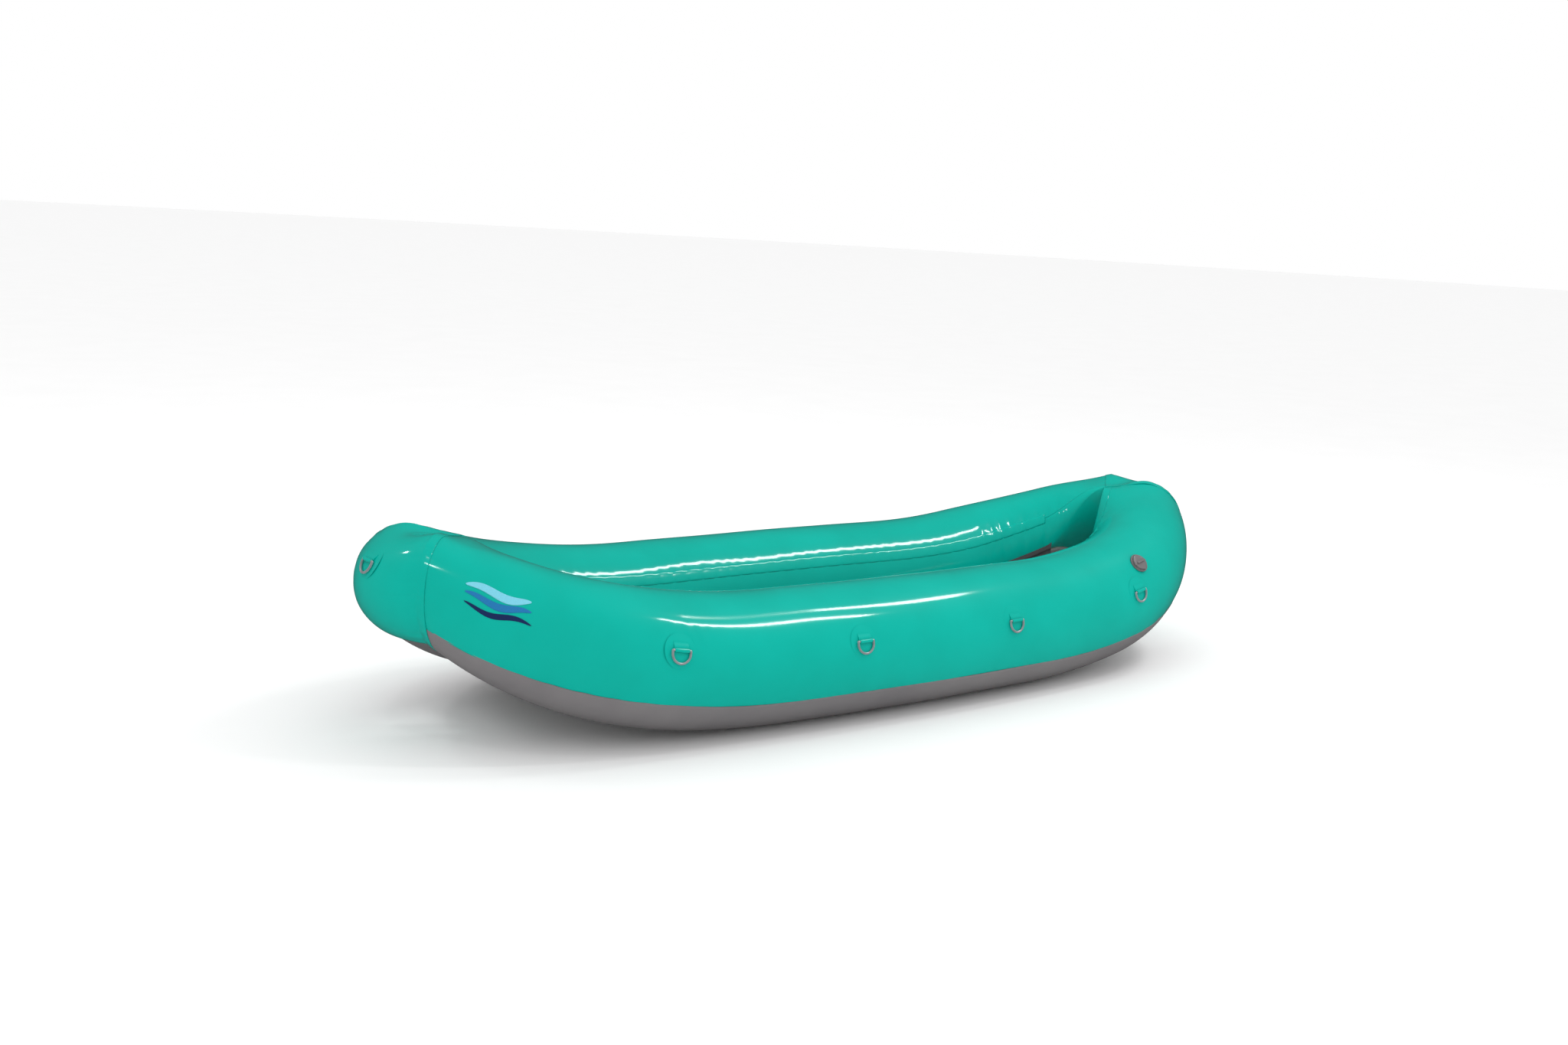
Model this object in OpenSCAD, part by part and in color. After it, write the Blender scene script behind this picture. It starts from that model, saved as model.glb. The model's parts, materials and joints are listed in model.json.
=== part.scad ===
// Inflatable kayak with two bent side tubes, zipped-in air bladders and a self-draining air floor.
// Bow at -X, stern at +X, port at -Y, starboard at +Y, resting on z = 0.
// The port side is modelled and mirrored. A place on a side tube is given as two numbers:
//   s      distance along the tube's path in plan, 0 at midships, negative towards the bow
//   theta  angle round the tube, 0 outboard, 90 on top, 180 inboard, 270 underneath

/* [Side tubes] */
// Radius of a side tube at midships
tube_r = 160; // [140:1:185]
// Radius of a side tube where it reaches the nose
tip_r = 114; // [95:1:130]
// How quickly the tube starts to narrow towards the nose, higher is later
taper_power = 3.56; // [2:0.1:5]
// Path length from midships to the middle of the end bend
side_l = 949; // [800:1:1150]
// Path length from the middle of the end bend to the nose seam
nose_l = 254; // [200:1:320]
// Angle that a tube turns through at its end bend, degrees
bend_angle = 38.5; // [30:0.5:44]
// Half the path length of the end bend
bend_half = 243; // [180:1:250]
// Radius of the gentle outward bow of each side
side_curve_r = 7960; // [6000:10:12000]
// Distance of the tube's path from the centre plane at the nose seam
tip_offset = 66; // [50:1:90]

/* [Rocker] */
// Half the length of the level middle
level_half = 365; // [300:5:500]
// Rise of the tube's path at the nose seam
kick_h = 185; // [120:1:240]
// Sharpness of the rise, higher is later
kick_power = 2.35; // [1.8:0.05:3]
// Change of height from the nose seam to the middle of the nose
nose_rise = -10; // [-20:1:25]

/* [Fabric] */
// Thickness of the coated cover fabric
cover_t = 1.2; // [0.8:0.1:2]
// Thickness of a bladder's film
bladder_t = 0.8; // [0.5:0.1:1.5]
// Angle below outboard horizontal where the bottom wrap starts, degrees
wrap_angle = 28; // [20:1:40]
// Angle above inboard horizontal of the long welded seam, degrees
seam_angle = 35; // [25:1:50]
// Width of the strip welded over the long seam
seam_strip_w = 33; // [20:1:50]

/* [Floor] */
// Thickness of the air floor
floor_t = 80; // [60:1:110]
// Height of the floor's underside above the bottom of the tubes
floor_lift = 15; // [8:1:30]
// Half the length of the floor along the tubes
floor_half = 940; // [800:5:980]
// Bore of a drain grommet
drain_d = 12; // [8:1:16]

/* [Zippers] */
// Angle below inboard horizontal where the tube zipper runs, degrees
zip_drop = 2; // [0:1:8]
// Half the length of a tube zipper
zip_half = 1000; // [800:10:1060]
// Width of the zipper tape
zip_tape_w = 30; // [22:1:36]
// Width of the zipper chain
zip_chain_w = 6; // [4:0.5:8]
// Length of the straight floor zipper
floor_zip_l = 500; // [300:10:600]
// Travel of a zipper slider along its level stretch
zip_travel = 150; // [80:10:160]

/* [Valves] */
// Place of the side valve along the tube
valve_s = 758; // [600:1:820]
// Angle of the side valve above outboard horizontal, degrees
valve_angle = 45; // [35:1:70]
// Diameter of the valve's flange
valve_flange_d = 54; // [48:1:64]
// Diameter of the valve's neck
valve_neck_d = 38; // [34:1:42]
// Length of the valve's neck
valve_neck_l = 34; // [28:1:44]

/* [Rings] */
// Spacing of the four D-rings on each side
ring_pitch = 482; // [400:1:500]
// Angle of the side rings' bars above outboard horizontal, degrees
ring_angle = 20; // [5:1:40]
// Angle of the bow and stern rings' bars above horizontal, degrees
end_ring_angle = 33; // [20:1:45]
// Clear width inside a D-ring
ring_clear_w = 39; // [30:1:45]
// Wire diameter of a D-ring
ring_wire_d = 5.5; // [4:0.5:7]
// Straight length between a D-ring's bar and its round end
ring_leg = 7; // [3:1:15]
// Diameter of the patch under a D-ring
patch_d = 80; // [65:1:100]

/* [Hidden] */

teal = [0.0, 0.66, 0.58];
grey = [0.47, 0.46, 0.46];
clear_film = [0.85, 0.87, 0.8];
steel = [0.75, 0.76, 0.78];

gap = 0.3;                         // between bodies that lie together
path_steps = 60;                   // steps of the sum that follows the tube's path
round_fn = 48;

// ---- path of the side tube ----

half_l = side_l + nose_l;
side_curve_deg = 180 / (PI * side_curve_r);
tip_heading = bend_angle + side_curve_deg * half_l;
nose_r = tip_offset / cos(tip_heading);                // radius of the path round the nose
nose_end = half_l + nose_r * (90 - tip_heading) * PI / 180;

function clamp01(v) = max(0, min(1, v));
// heading of the path away from the X axis, as an angle towards the centre plane
function side_heading(s) =
    bend_angle * clamp01((s - side_l + bend_half) / (2 * bend_half)) + side_curve_deg * s;
function heading(s) =
    s <= half_l ? side_heading(s) : tip_heading + (s - half_l) / nose_r * 180 / PI;
// [distance from midships, distance moved inwards] at s
function plan(s, ds) = [
    ds * sum_list([for (i = [0 : path_steps - 1]) cos(side_heading((i + 0.5) * ds))]),
    ds * sum_list([for (i = [0 : path_steps - 1]) sin(side_heading((i + 0.5) * ds))])
];
function sum_list(v) = v * [for (i = [1 : len(v)]) 1];
tip_plan = plan(half_l, half_l / path_steps);
nose_centre_x = tip_plan[0] - nose_r * sin(tip_heading);
// [x, distance from the centre plane] of the path, for s from midships to the middle of the nose
function path_xy(s) =
    s > half_l
    ? [nose_centre_x + nose_r * sin(heading(s)), nose_r * cos(heading(s))]
    : let (p = plan(s, s / path_steps)) [p[0], tip_offset + tip_plan[1] - p[1]];

function along(s) = clamp01((s - level_half) / (half_l - level_half));
function kick(s) =
    kick_h * pow(along(s), kick_power)
    + (s > half_l ? nose_rise * sin(90 * (s - half_l) / (nose_end - half_l)) : 0);
function slope(s) =
    s > half_l ? tip_slope * (nose_end - s) / (nose_end - half_l)
    : atan(kick_h * kick_power * pow(along(s), kick_power - 1) / (half_l - level_half));
tip_slope = atan(kick_h * kick_power / (half_l - level_half));
function radius(s) = tube_r + (tip_r - tube_r) * pow(along(s), taper_power);

// centre of the port tube, and the same for any signed s
function centre(s) = let (p = path_xy(abs(s))) [sign(s) * p[0], -p[1], tube_r + kick(abs(s))];
// point of the port tube, grow beyond its surface, kept clear of the centre plane
function tube_point(s, theta, grow, mid) =
    let (
        a = abs(s),
        h = sign(s) * heading(a),
        c = centre(s),
        out = (radius(a) + grow) * cos(theta),
        up = (radius(a) / cos(slope(a)) + grow) * sin(theta)
    )
    [c[0] + out * sin(h), min(c[1] - out * cos(h), -mid), c[2] + up];

// ---- sweeps ----

// closed solid through rings of points, each ring anticlockwise to an eye that it moves towards
// sheet: each ring is two rows of points, out and back, so its ends close as strips of triangles
module skin(rings, sheet = false) {
    n = len(rings);
    k = len(rings[0]);
    walls = [
        for (i = [0 : n - 2], j = [0 : k - 1], t = [0, 1])
            let (a = i * k + j, b = i * k + (j + 1) % k)
            t == 0 ? [a, a + k, b] : [b, a + k, b + k]
    ];
    first = sheet
        ? [for (j = [0 : k / 2 - 2], t = [0, 1]) t == 0 ? [j, j + 1, k - 1 - j] : [j + 1, k - 2 - j, k - 1 - j]]
        : [[for (j = [0 : k - 1]) j]];
    last = [for (f = first) [for (j = [len(f) - 1 : -1 : 0]) (n - 1) * k + f[j]]];
    polyhedron([for (r = rings) each r], concat(walls, first, last), convexity = 8);
}
// even steps from a to b
function steps(a, b, n) = [for (i = [0 : n]) a + (b - a) * i / n];

// fabric panel on the port tube, from theta t0 to t1, between two heights over the surface
module panel(stations, t0, t1, m, low, high) {
    mid = gap / 2;
    skin([
        for (s = stations)
            concat(
                [for (t = steps(t1, t0, m)) tube_point(s, t, high, mid)],
                [for (t = steps(t0, t1, m)) tube_point(s, t, low, mid + high - low)]
            )
    ], sheet = true);
}
// local frame on the port tube: x along it, z out of its surface, y up round it
module on_tube(s, theta) {
    a = abs(s);
    translate(tube_point(s, theta, 0, 0))
        rotate([0, 0, sign(s) * heading(a)]) rotate([0, -sign(s) * slope(a), 0]) rotate([90 - theta, 0, 0])
            children();
}
module starboard() { mirror([0, 1, 0]) children(); }

// ---- covers ----

cover_stations = steps(-half_l, half_l, 32);
// the covers' stations as far as half, so that what lies on the covers bends where they bend
function stations_to(half) = [for (s = cover_stations) if (abs(s) <= half) s];
seam_gap_deg = 0.15;
seam_theta = 180 - seam_angle;
zip_theta = 180 + zip_drop;
zip_slit_deg = zip_chain_w / tube_r * 180 / PI / 2;

module cover_panel(t0, t1, m) {
    panel(cover_stations, t0 + seam_gap_deg, t1 - seam_gap_deg, m, -cover_t, 0);
}
module side_cover() {
    difference() {
        cover_panel(-wrap_angle, seam_theta, 12);
        on_tube(valve_s, valve_angle) translate([0, 0, -20]) cylinder(d = valve_hole_d, h = 40, $fn = round_fn);
    }
}
// the teal panel and the grey wrap meet the bladder zipper from above and below
module inner_panel() { cover_panel(seam_theta, zip_theta - zip_slit_deg, 3); }
module bottom_wrap() { cover_panel(zip_theta + zip_slit_deg, 360 - wrap_angle, 12); }
module seam_strip() {
    half = seam_strip_w / tube_r * 90 / PI;
    panel(stations_to(zip_half), seam_theta - half, seam_theta + half, 2, gap, gap + cover_t);
}

// nose cap, one bent shell from seam to seam round the end of the boat
nose_axis_r = 8;                   // hole left on the axis that the nose bends round
function cap_section(s, grow) =
    let (
        a = abs(s),
        h = sign(s) * heading(a),
        c = centre(s),
        up = radius(a) / cos(slope(a)) + grow,
        in = nose_r - nose_axis_r,
        axis_x = c[0] - in * sin(h),
        axis_y = c[1] + in * cos(h),
        axis_z = centre(nose_end)[2],
        axis_up = tip_r + grow
    )
    concat(
        [[axis_x, axis_y, axis_z + axis_up]],
        [for (t = steps(90, -90, 12))
            let (r = radius(a) + grow)
            [c[0] + r * cos(t) * sin(h), c[1] - r * cos(t) * cos(h), c[2] + up * sin(t)]],
        [[axis_x, axis_y, axis_z - axis_up]]
    );
function reversed(v) = [for (i = [len(v) - 1 : -1 : 0]) v[i]];
function mirrored(v) = [for (p = v) [p[0], -p[1], p[2]]];
module nose_cap(end) {
    half = [
        for (s = steps(half_l + gap, nose_end, 5))
            concat(cap_section(end * s, 0), reversed(cap_section(end * s, -cover_t)))
    ];
    other = [for (i = [len(half) - 2 : -1 : 0]) mirrored(half[i])];
    rings = concat(half, other);
    skin(end > 0 ? rings : [for (r = rings) reversed(r)], sheet = true);
}

// ---- bladders ----

facet_fit = 1.8;                   // where facets of a cover and a bladder cross, at most
bladder_fit = cover_t + gap + facet_fit;   // bladder's surface inside the cover's
dome_fit = bladder_fit + 4;        // the same in the nose caps
// the covers' own corners round the tube, clockwise to an eye at the stern
bladder_thetas = reversed(concat(
    [for (i = [0 : 11]) -wrap_angle + (seam_theta + wrap_angle) * i / 12],
    [for (i = [0 : 2]) seam_theta + (zip_theta - seam_theta) * i / 3],
    [for (i = [0 : 11]) zip_theta + (360 - wrap_angle - zip_theta) * i / 12]
));

// ring round the port tube, and past its tip a ring of the round end, at angle a of its dome
function tube_ring(s, grow, mid) = [for (t = bladder_thetas) tube_point(s, t, grow, mid)];
function dome_ring(end, a, grow, mid) =
    let (
        h = end * tip_heading,
        c = centre(end * half_l),
        r = tip_r + grow,
        f = end * r * sin(a)
    )
    [
        for (t = bladder_thetas)
            let (
                out = r * cos(a) * cos(t),
                x = c[0] + f * cos(h) + out * sin(h),
                y = c[1] + f * sin(h) - out * cos(h)
            )
            [x, min(y, -mid), c[2] + r * cos(a) * sin(t)]
    ];
dome_angles = [0, 25, 50, 70, 84];
// thinner is how far inside the bladder's surface, 0 for the surface itself
module bladder_form(thinner) {
    grow = -bladder_fit - thinner;
    dome = -dome_fit - thinner;
    mid = gap / 2 + bladder_fit + thinner;
    skin(concat(
        [for (a = reversed(dome_angles)) dome_ring(-1, a, dome, mid)],
        [for (i = [1 : len(cover_stations) - 2]) tube_ring(cover_stations[i], grow, mid)],
        [for (a = dome_angles) dome_ring(1, a, dome, mid)]
    ));
}
module side_bladder() {
    difference() {
        bladder_form(0);
        bladder_form(bladder_t);
        on_tube(valve_s, valve_angle) translate([0, 0, -20]) cylinder(d = valve_hole_d, h = 40, $fn = round_fn);
    }
}

// ---- air floor ----

floor_fit = 4;                     // between the floor and the tubes
floor_points = 16;
floor_square = 0.4;                // 1 is an elliptic section, 0 a rectangle
floor_end_s = floor_half - 20;     // the last section before the floor's rounded end
floor_side = floor_lift + floor_t / 2;   // height of the flange
// half width between the tubes at a height over the tubes' lowest line
function well_half(s, height) =
    let (a = abs(s), dz = (height - tube_r) * cos(slope(a)), r = radius(a))
    path_xy(a)[1] - sqrt(max(1, r * r - dz * dz)) / cos(heading(a));
function floor_half_w(s) = well_half(s, floor_lift + floor_t) - floor_fit;
module floor_form(grow) {
    skin([
        for (s = concat([-floor_half - grow], stations_to(floor_end_s), [floor_half + grow]))
            let (b = floor_half_w(s) + grow, h = floor_t / 2 + grow, c = centre(s))
            [
                for (j = [0 : floor_points - 1])
                    let (t = 360 * (j + 0.5) / floor_points)
                    [
                        c[0],
                        b * sign(cos(t)) * pow(abs(cos(t)), floor_square),
                        c[2] - tube_r + floor_side + h * sign(sin(t)) * pow(abs(sin(t)), floor_square)
                    ]
            ]
    ]);
}
module at_floor_valve() { translate([floor_valve_x, 0, floor_lift + floor_t]) children(); }
module floor_shell(outer, wall) {
    difference() {
        floor_form(outer);
        floor_form(outer - wall);
        at_floor_valve() translate([0, 0, -20]) cylinder(d = valve_hole_d, h = 40, $fn = round_fn);
    }
}
floor_valve_x = 250;

flange_t = 2;
drain_xs = [-300, -100, 100, 300];
function flange_mid(x) = (floor_half_w(x) + well_half(x, floor_side)) / 2;
module floor_flange() {
    difference() {
        skin([
            for (s = stations_to(floor_end_s))
                let (
                    c = centre(s),
                    z = c[2] - tube_r + floor_side,
                    y0 = -floor_half_w(s) * pow(cos(180 / floor_points), floor_square) - gap,
                    y1 = -well_half(s, floor_side + flange_t) + 2 * gap
                )
                [[c[0], y0, z], [c[0], y0, z + flange_t], [c[0], y1, z + flange_t], [c[0], y1, z]]
        ]);
        for (x = drain_xs)
            translate([x, -flange_mid(x), floor_side - 5]) cylinder(d = drain_d + 3, h = 12, $fn = 32);
    }
}
module grommet() {
    rotate_extrude($fn = 32) {
        translate([drain_d / 2, -0.8]) square([1.2, flange_t + 1.6]);
        translate([drain_d / 2, -0.8 - gap]) square([4, 0.8]);
        translate([drain_d / 2, flange_t + gap]) square([4, 0.8]);
    }
}
module drain_grommets_both() {
    for (x = drain_xs, side = [-1, 1])
        translate([x, side * flange_mid(x), floor_side]) grommet();
}

// ---- zippers ----

zip_tape_t = 1;
zip_chain_t = 1.8;
zip_s = 160;                       // rest place of the slider on the tube zipper
floor_zip_y = -60;

module side_zipper() {
    tape = zip_tape_w / tube_r * 90 / PI;
    chain = zip_chain_w / tube_r * 90 / PI;
    top = gap + zip_tape_t;
    profile = [
        [-tape, gap], [-chain, gap], [chain, gap], [tape, gap], [tape, top], [chain, top],
        [chain, top + zip_chain_t], [-chain, top + zip_chain_t], [-chain, top], [-tape, top]
    ];
    skin([
        for (s = stations_to(zip_half))
            [for (p = profile) tube_point(s, zip_theta - p[0], p[1], 0)]
    ]);
}
module straight_zipper() {
    translate([-floor_zip_l / 2, -zip_tape_w / 2, 0]) cube([floor_zip_l, zip_tape_w, zip_tape_t]);
    translate([-floor_zip_l / 2, -zip_chain_w / 2, 0])
        cube([floor_zip_l, zip_chain_w, zip_tape_t + zip_chain_t]);
}
slider_l = 16;
slider_w = 13;
slider_h = 7;
slider_lift = gap + zip_tape_t + 0.5;
bail_pin_d = 2;
bail_z = slider_lift + slider_h + bail_pin_d + 2 * gap + 1;
module zip_slider() {
    translate([-slider_l / 2, 0, slider_lift]) difference() {
        translate([0, -slider_w / 2, 0]) cube([slider_l, slider_w, slider_h]);
        translate([-1, -zip_chain_w / 2 - 1, -1]) cube([slider_l + 2, zip_chain_w + 2, zip_chain_t + 2]);
    }
    for (y = [-5, 3])
        translate([-2.5, y, slider_lift + slider_h - 1])
            cube([5, 2, bail_z + bail_pin_d - slider_lift - slider_h + 1]);
    translate([0, -4, bail_z]) rotate([-90, 0, 0]) cylinder(d = bail_pin_d, h = 8, $fn = 24);
}
module zip_pull() {
    eye = bail_pin_d + 2 * gap;
    translate([0, 0, bail_z]) difference() {
        union() {
            translate([0, 2.5, 0]) rotate([90, 0, 0]) cylinder(d = eye + 2, h = 5, $fn = 24);
            translate([0, -2.5, -1]) cube([12, 5, 2]);
            translate([10, -6, -1]) cube([28, 12, 2]);
        }
        translate([0, 3.5, 0]) rotate([90, 0, 0]) cylinder(d = eye, h = 7, $fn = 24);
        translate([32, 0, -2]) cylinder(d = 5, h = 4, $fn = 24);
    }
}
module on_zip(s) { on_tube(s, zip_theta) children(); }
module on_floor_zip(x) { translate([x, floor_zip_y, floor_lift + floor_t]) children(); }

// ---- valves: z = 0 is the fabric's surface, air goes in along -z ----

valve_hole_d = valve_neck_d + 1.6;
valve_bore_d = valve_neck_d - 8;
flange_h = 3;
hub_z = -22;
hub_h = 4;
hub_d = 12;
stem_d = 5;
button_h = 2;
button_z = -4 - button_h;
seal_w = 2;

module valve_body() {
    difference() {
        union() {
            translate([0, 0, gap]) cylinder(d = valve_flange_d, h = flange_h, $fn = 64);
            translate([0, 0, -valve_neck_l]) cylinder(d = valve_neck_d, h = valve_neck_l + gap + 1, $fn = 64);
        }
        // the bore, all but the hub and its three arms
        difference() {
            translate([0, 0, -valve_neck_l - 1]) cylinder(d = valve_bore_d, h = valve_neck_l + 10, $fn = 64);
            translate([0, 0, hub_z]) cylinder(d = hub_d, h = hub_h, $fn = 32);
            for (a = [0, 120, 240])
                rotate([0, 0, a]) translate([1, -1.5, hub_z + 0.5]) cube([valve_bore_d, 3, hub_h - 1]);
        }
        translate([0, 0, hub_z - 1]) cylinder(d = stem_d + gap, h = hub_h + 2, $fn = 32);
    }
}
// what the nut clamps: the fabric and the bladder, which fall away round the tube
nut_h = 6;
nut_r = valve_flange_d / 2 + 2;
tube_seat = bladder_fit + bladder_t + nut_r * nut_r / (2 * tube_r) + facet_fit + gap;
floor_seat = cover_t + gap + bladder_t + gap;
module valve_nut(seat) {
    translate([0, 0, -seat - nut_h]) difference() {
        cylinder(r = nut_r, h = nut_h, $fn = 64);
        translate([0, 0, -1]) cylinder(d = valve_neck_d + gap, h = nut_h + 2, $fn = 64);
        for (a = [0 : 60 : 300])
            rotate([0, 0, a]) translate([nut_r, 0, -1]) cylinder(d = 7, h = nut_h + 2, $fn = 24);
    }
}
module valve_poppet() {
    translate([0, 0, -valve_neck_l - gap - 3]) cylinder(d = valve_bore_d + 5, h = 3, $fn = 48);
    translate([0, 0, -valve_neck_l - gap - 1]) cylinder(d = stem_d, h = valve_neck_l + gap - 4, $fn = 32);
    translate([0, 0, button_z]) cylinder(d = hub_d, h = button_h, $fn = 32);
}
spring_turns = 4;
spring_r = 4.2;
spring_wire = 0.9;
spring_sides = 6;
module valve_spring() {
    low = hub_z + hub_h + spring_wire / 2 + 0.1;
    high = button_z - spring_wire / 2 - 0.1;
    skin([
        for (i = [0 : spring_turns * 12])
            let (t = i * 30, z = low + (high - low) * i / (spring_turns * 12))
            [
                for (j = [0 : spring_sides - 1])
                    let (b = j * 360 / spring_sides, r = spring_r + spring_wire / 2 * cos(b))
                    [r * cos(t), r * sin(t), z - spring_wire / 2 * sin(b)]
            ]
    ]);
}
cap_z = flange_h + 2 * gap;
cap_h = 5;
cap_d = valve_flange_d - 10;
seal_r = valve_bore_d / 2 + 3.5;
module valve_cap() {
    difference() {
        union() {
            translate([0, 0, cap_z]) cylinder(d = cap_d, h = cap_h, $fn = 64);
            translate([0, 0, -1]) cylinder(d = valve_bore_d - 1, h = cap_z + 2, $fn = 48);
            for (a = [0, 90, 180, 270])
                rotate([0, 0, a]) translate([cap_d / 2 - 1, 0, cap_z]) cylinder(d = 6, h = cap_h, $fn = 24);
        }
        translate([0, 0, -2]) cylinder(d = valve_bore_d - 5, h = cap_z + 2, $fn = 48);
        translate([0, 0, cap_z - 1]) rotate_extrude($fn = 64)
            translate([seal_r - seal_w / 2 - 0.15, 0]) square([seal_w + 0.3, seal_w + 1]);
    }
    translate([-cap_d / 2 + 8, -2.5, cap_z + cap_h - 1]) cube([cap_d - 16, 5, 5]);
}
module valve_seal() {
    translate([0, 0, flange_h + gap + seal_w / 2 + 0.05])
        rotate_extrude($fn = 64) translate([seal_r, 0]) circle(d = seal_w, $fn = 24);
}
module at_valve() { on_tube(valve_s, valve_angle) children(); }

// ---- D-rings: x along the bar, z out of the fabric, the ring hangs towards -y ----

ring_half = (ring_clear_w + ring_wire_d) / 2;
web_w = ring_clear_w - 3;          // webbing loop round the bar
web_t = 1.5;
patch_t = 1.2;
bar_z = gap + patch_t + web_t + gap + ring_wire_d / 2;
ring_lean = 8;                     // the hanging ring leans in to lie on the tube

module ring_wire(l) { cylinder(d = ring_wire_d, h = l, $fn = 24); }
module d_ring() {
    translate([0, 0, bar_z]) rotate([ring_lean, 0, 0]) {
        translate([-ring_half, 0, 0]) rotate([0, 90, 0]) ring_wire(2 * ring_half);
        for (x = [-ring_half, ring_half]) {
            translate([x, 0, 0]) sphere(d = ring_wire_d, $fn = 24);
            translate([x, 0, 0]) rotate([90, 0, 0]) ring_wire(ring_leg);
        }
        translate([0, -ring_leg, 0]) rotate([0, 0, 180])
            rotate_extrude(angle = 180, $fn = 48) translate([ring_half, 0]) circle(d = ring_wire_d, $fn = 24);
    }
}
// sheet of the tube's own roundness, between two heights over its surface
module curved_sheet(r, low, high, l) {
    translate([-l / 2, 0, -r]) rotate([0, 90, 0]) difference() {
        cylinder(r = r + high, h = l, $fn = 96);
        translate([0, 0, -1]) cylinder(r = r + low, h = l + 2, $fn = 96);
    }
}
module ring_mount(r) {
    reach = web_w * 0.8;
    top = gap + patch_t;
    difference() {
        union() {
            intersection() {
                curved_sheet(r, gap, top, patch_d + 4);
                translate([0, 0, -30]) cylinder(d = patch_d, h = 60, $fn = 64);
            }
            intersection() {
                curved_sheet(r, gap + patch_t / 2, top + 2 * web_t, web_w);
                translate([-web_w / 2, 0, -30]) cube([web_w, reach, 60]);
            }
            translate([-web_w / 2, 0, bar_z]) rotate([0, 90, 0])
                cylinder(d = ring_wire_d + 2 * gap + 2 * web_t, h = web_w, $fn = 32);
        }
        translate([-web_w, 0, bar_z]) rotate([0, 90, 0])
            cylinder(d = ring_wire_d + 2 * gap, h = 2 * web_w, $fn = 32);
    }
}
function ring_s(i) = (i - 2.5) * ring_pitch;
module at_ring(i) { on_tube(ring_s(i), ring_angle) children(); }
module at_end_ring(end) { on_tube(end * nose_end, end_ring_angle) children(); }
module side_ring_mounts() {
    for (i = [1 : 4]) at_ring(i) ring_mount(radius(abs(ring_s(i))));
}

// ---- the pieces ----

module port_cover() { color(teal) side_cover(); }
module starboard_cover() { starboard() port_cover(); }
module port_inner_panel() { color(teal) inner_panel(); }
module starboard_inner_panel() { starboard() port_inner_panel(); }
module port_wrap() { color(grey) bottom_wrap(); }
module starboard_wrap() { starboard() port_wrap(); }
module port_seam_strip() { color(teal) seam_strip(); }
module starboard_seam_strip() { starboard() port_seam_strip(); }
module bow_cap() { color(teal) nose_cap(-1); }
module stern_cap() { color(teal) nose_cap(1); }
module port_bladder() { color(clear_film) side_bladder(); }
module starboard_bladder() { starboard() port_bladder(); }
module floor_cover() { color(grey) floor_shell(0, cover_t); }
module floor_bladder() { color(clear_film) floor_shell(-cover_t - gap, bladder_t); }
module port_floor_flange() { color(grey) floor_flange(); }
module starboard_floor_flange() { starboard() port_floor_flange(); }
module drain_grommets() { color(steel) drain_grommets_both(); }
module port_zipper() { color(grey) side_zipper(); }
module starboard_zipper() { starboard() port_zipper(); }
module floor_zipper() { color(grey) on_floor_zip(0) translate([0, 0, gap]) straight_zipper(); }
module port_zip_slider() { color(grey) on_zip(zip_s) zip_slider(); }
module starboard_zip_slider() { starboard() port_zip_slider(); }
module floor_zip_slider() { color(grey) on_floor_zip(-zip_s) zip_slider(); }
module port_zip_pull() { color(grey) on_zip(zip_s) zip_pull(); }
module starboard_zip_pull() { starboard() port_zip_pull(); }
module floor_zip_pull() { color(grey) on_floor_zip(-zip_s) zip_pull(); }
module port_valve_body() { color(grey) at_valve() valve_body(); }
module port_valve_nut() { color(grey) at_valve() valve_nut(tube_seat); }
module port_valve_poppet() { color(grey) at_valve() valve_poppet(); }
module port_valve_spring() { color(steel) at_valve() valve_spring(); }
module port_valve_cap() { color(grey) at_valve() valve_cap(); }
module port_valve_seal() { color("black") at_valve() valve_seal(); }
module floor_valve_body() { color(grey) at_floor_valve() valve_body(); }
module floor_valve_nut() { color(grey) at_floor_valve() valve_nut(floor_seat); }
module floor_valve_poppet() { color(grey) at_floor_valve() valve_poppet(); }
module floor_valve_spring() { color(steel) at_floor_valve() valve_spring(); }
module floor_valve_cap() { color(grey) at_floor_valve() valve_cap(); }
module floor_valve_seal() { color("black") at_floor_valve() valve_seal(); }
module port_ring(i) { color(steel) at_ring(i) d_ring(); }
module end_ring(end) { color(steel) at_end_ring(end) d_ring(); }
module port_ring_mounts() { color(teal) side_ring_mounts(); }
module end_ring_mount(end) { color(teal) at_end_ring(end) ring_mount(tip_r); }

port_cover();
starboard_cover();
port_inner_panel();
starboard_inner_panel();
port_wrap();
starboard_wrap();
port_seam_strip();
starboard_seam_strip();
bow_cap();
stern_cap();
port_bladder();
starboard_bladder();
floor_cover();
floor_bladder();
port_floor_flange();
starboard_floor_flange();
drain_grommets();
port_zipper();
starboard_zipper();
floor_zipper();
port_zip_slider();
starboard_zip_slider();
floor_zip_slider();
port_zip_pull();
starboard_zip_pull();
floor_zip_pull();
port_valve_body();
port_valve_nut();
port_valve_poppet();
port_valve_spring();
port_valve_cap();
port_valve_seal();
starboard() port_valve_body();  // starboard_valve_body
starboard() port_valve_nut();  // starboard_valve_nut
starboard() port_valve_poppet();  // starboard_valve_poppet
starboard() port_valve_spring();  // starboard_valve_spring
starboard() port_valve_cap();  // starboard_valve_cap
starboard() port_valve_seal();  // starboard_valve_seal
floor_valve_body();
floor_valve_nut();
floor_valve_poppet();
floor_valve_spring();
floor_valve_cap();
floor_valve_seal();
port_ring(1);  // port_ring_1
port_ring(2);  // port_ring_2
port_ring(3);  // port_ring_3
port_ring(4);  // port_ring_4
starboard() port_ring(1);  // starboard_ring_1
starboard() port_ring(2);  // starboard_ring_2
starboard() port_ring(3);  // starboard_ring_3
starboard() port_ring(4);  // starboard_ring_4
end_ring(-1);  // bow_ring
end_ring(1);  // stern_ring
port_ring_mounts();
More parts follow.
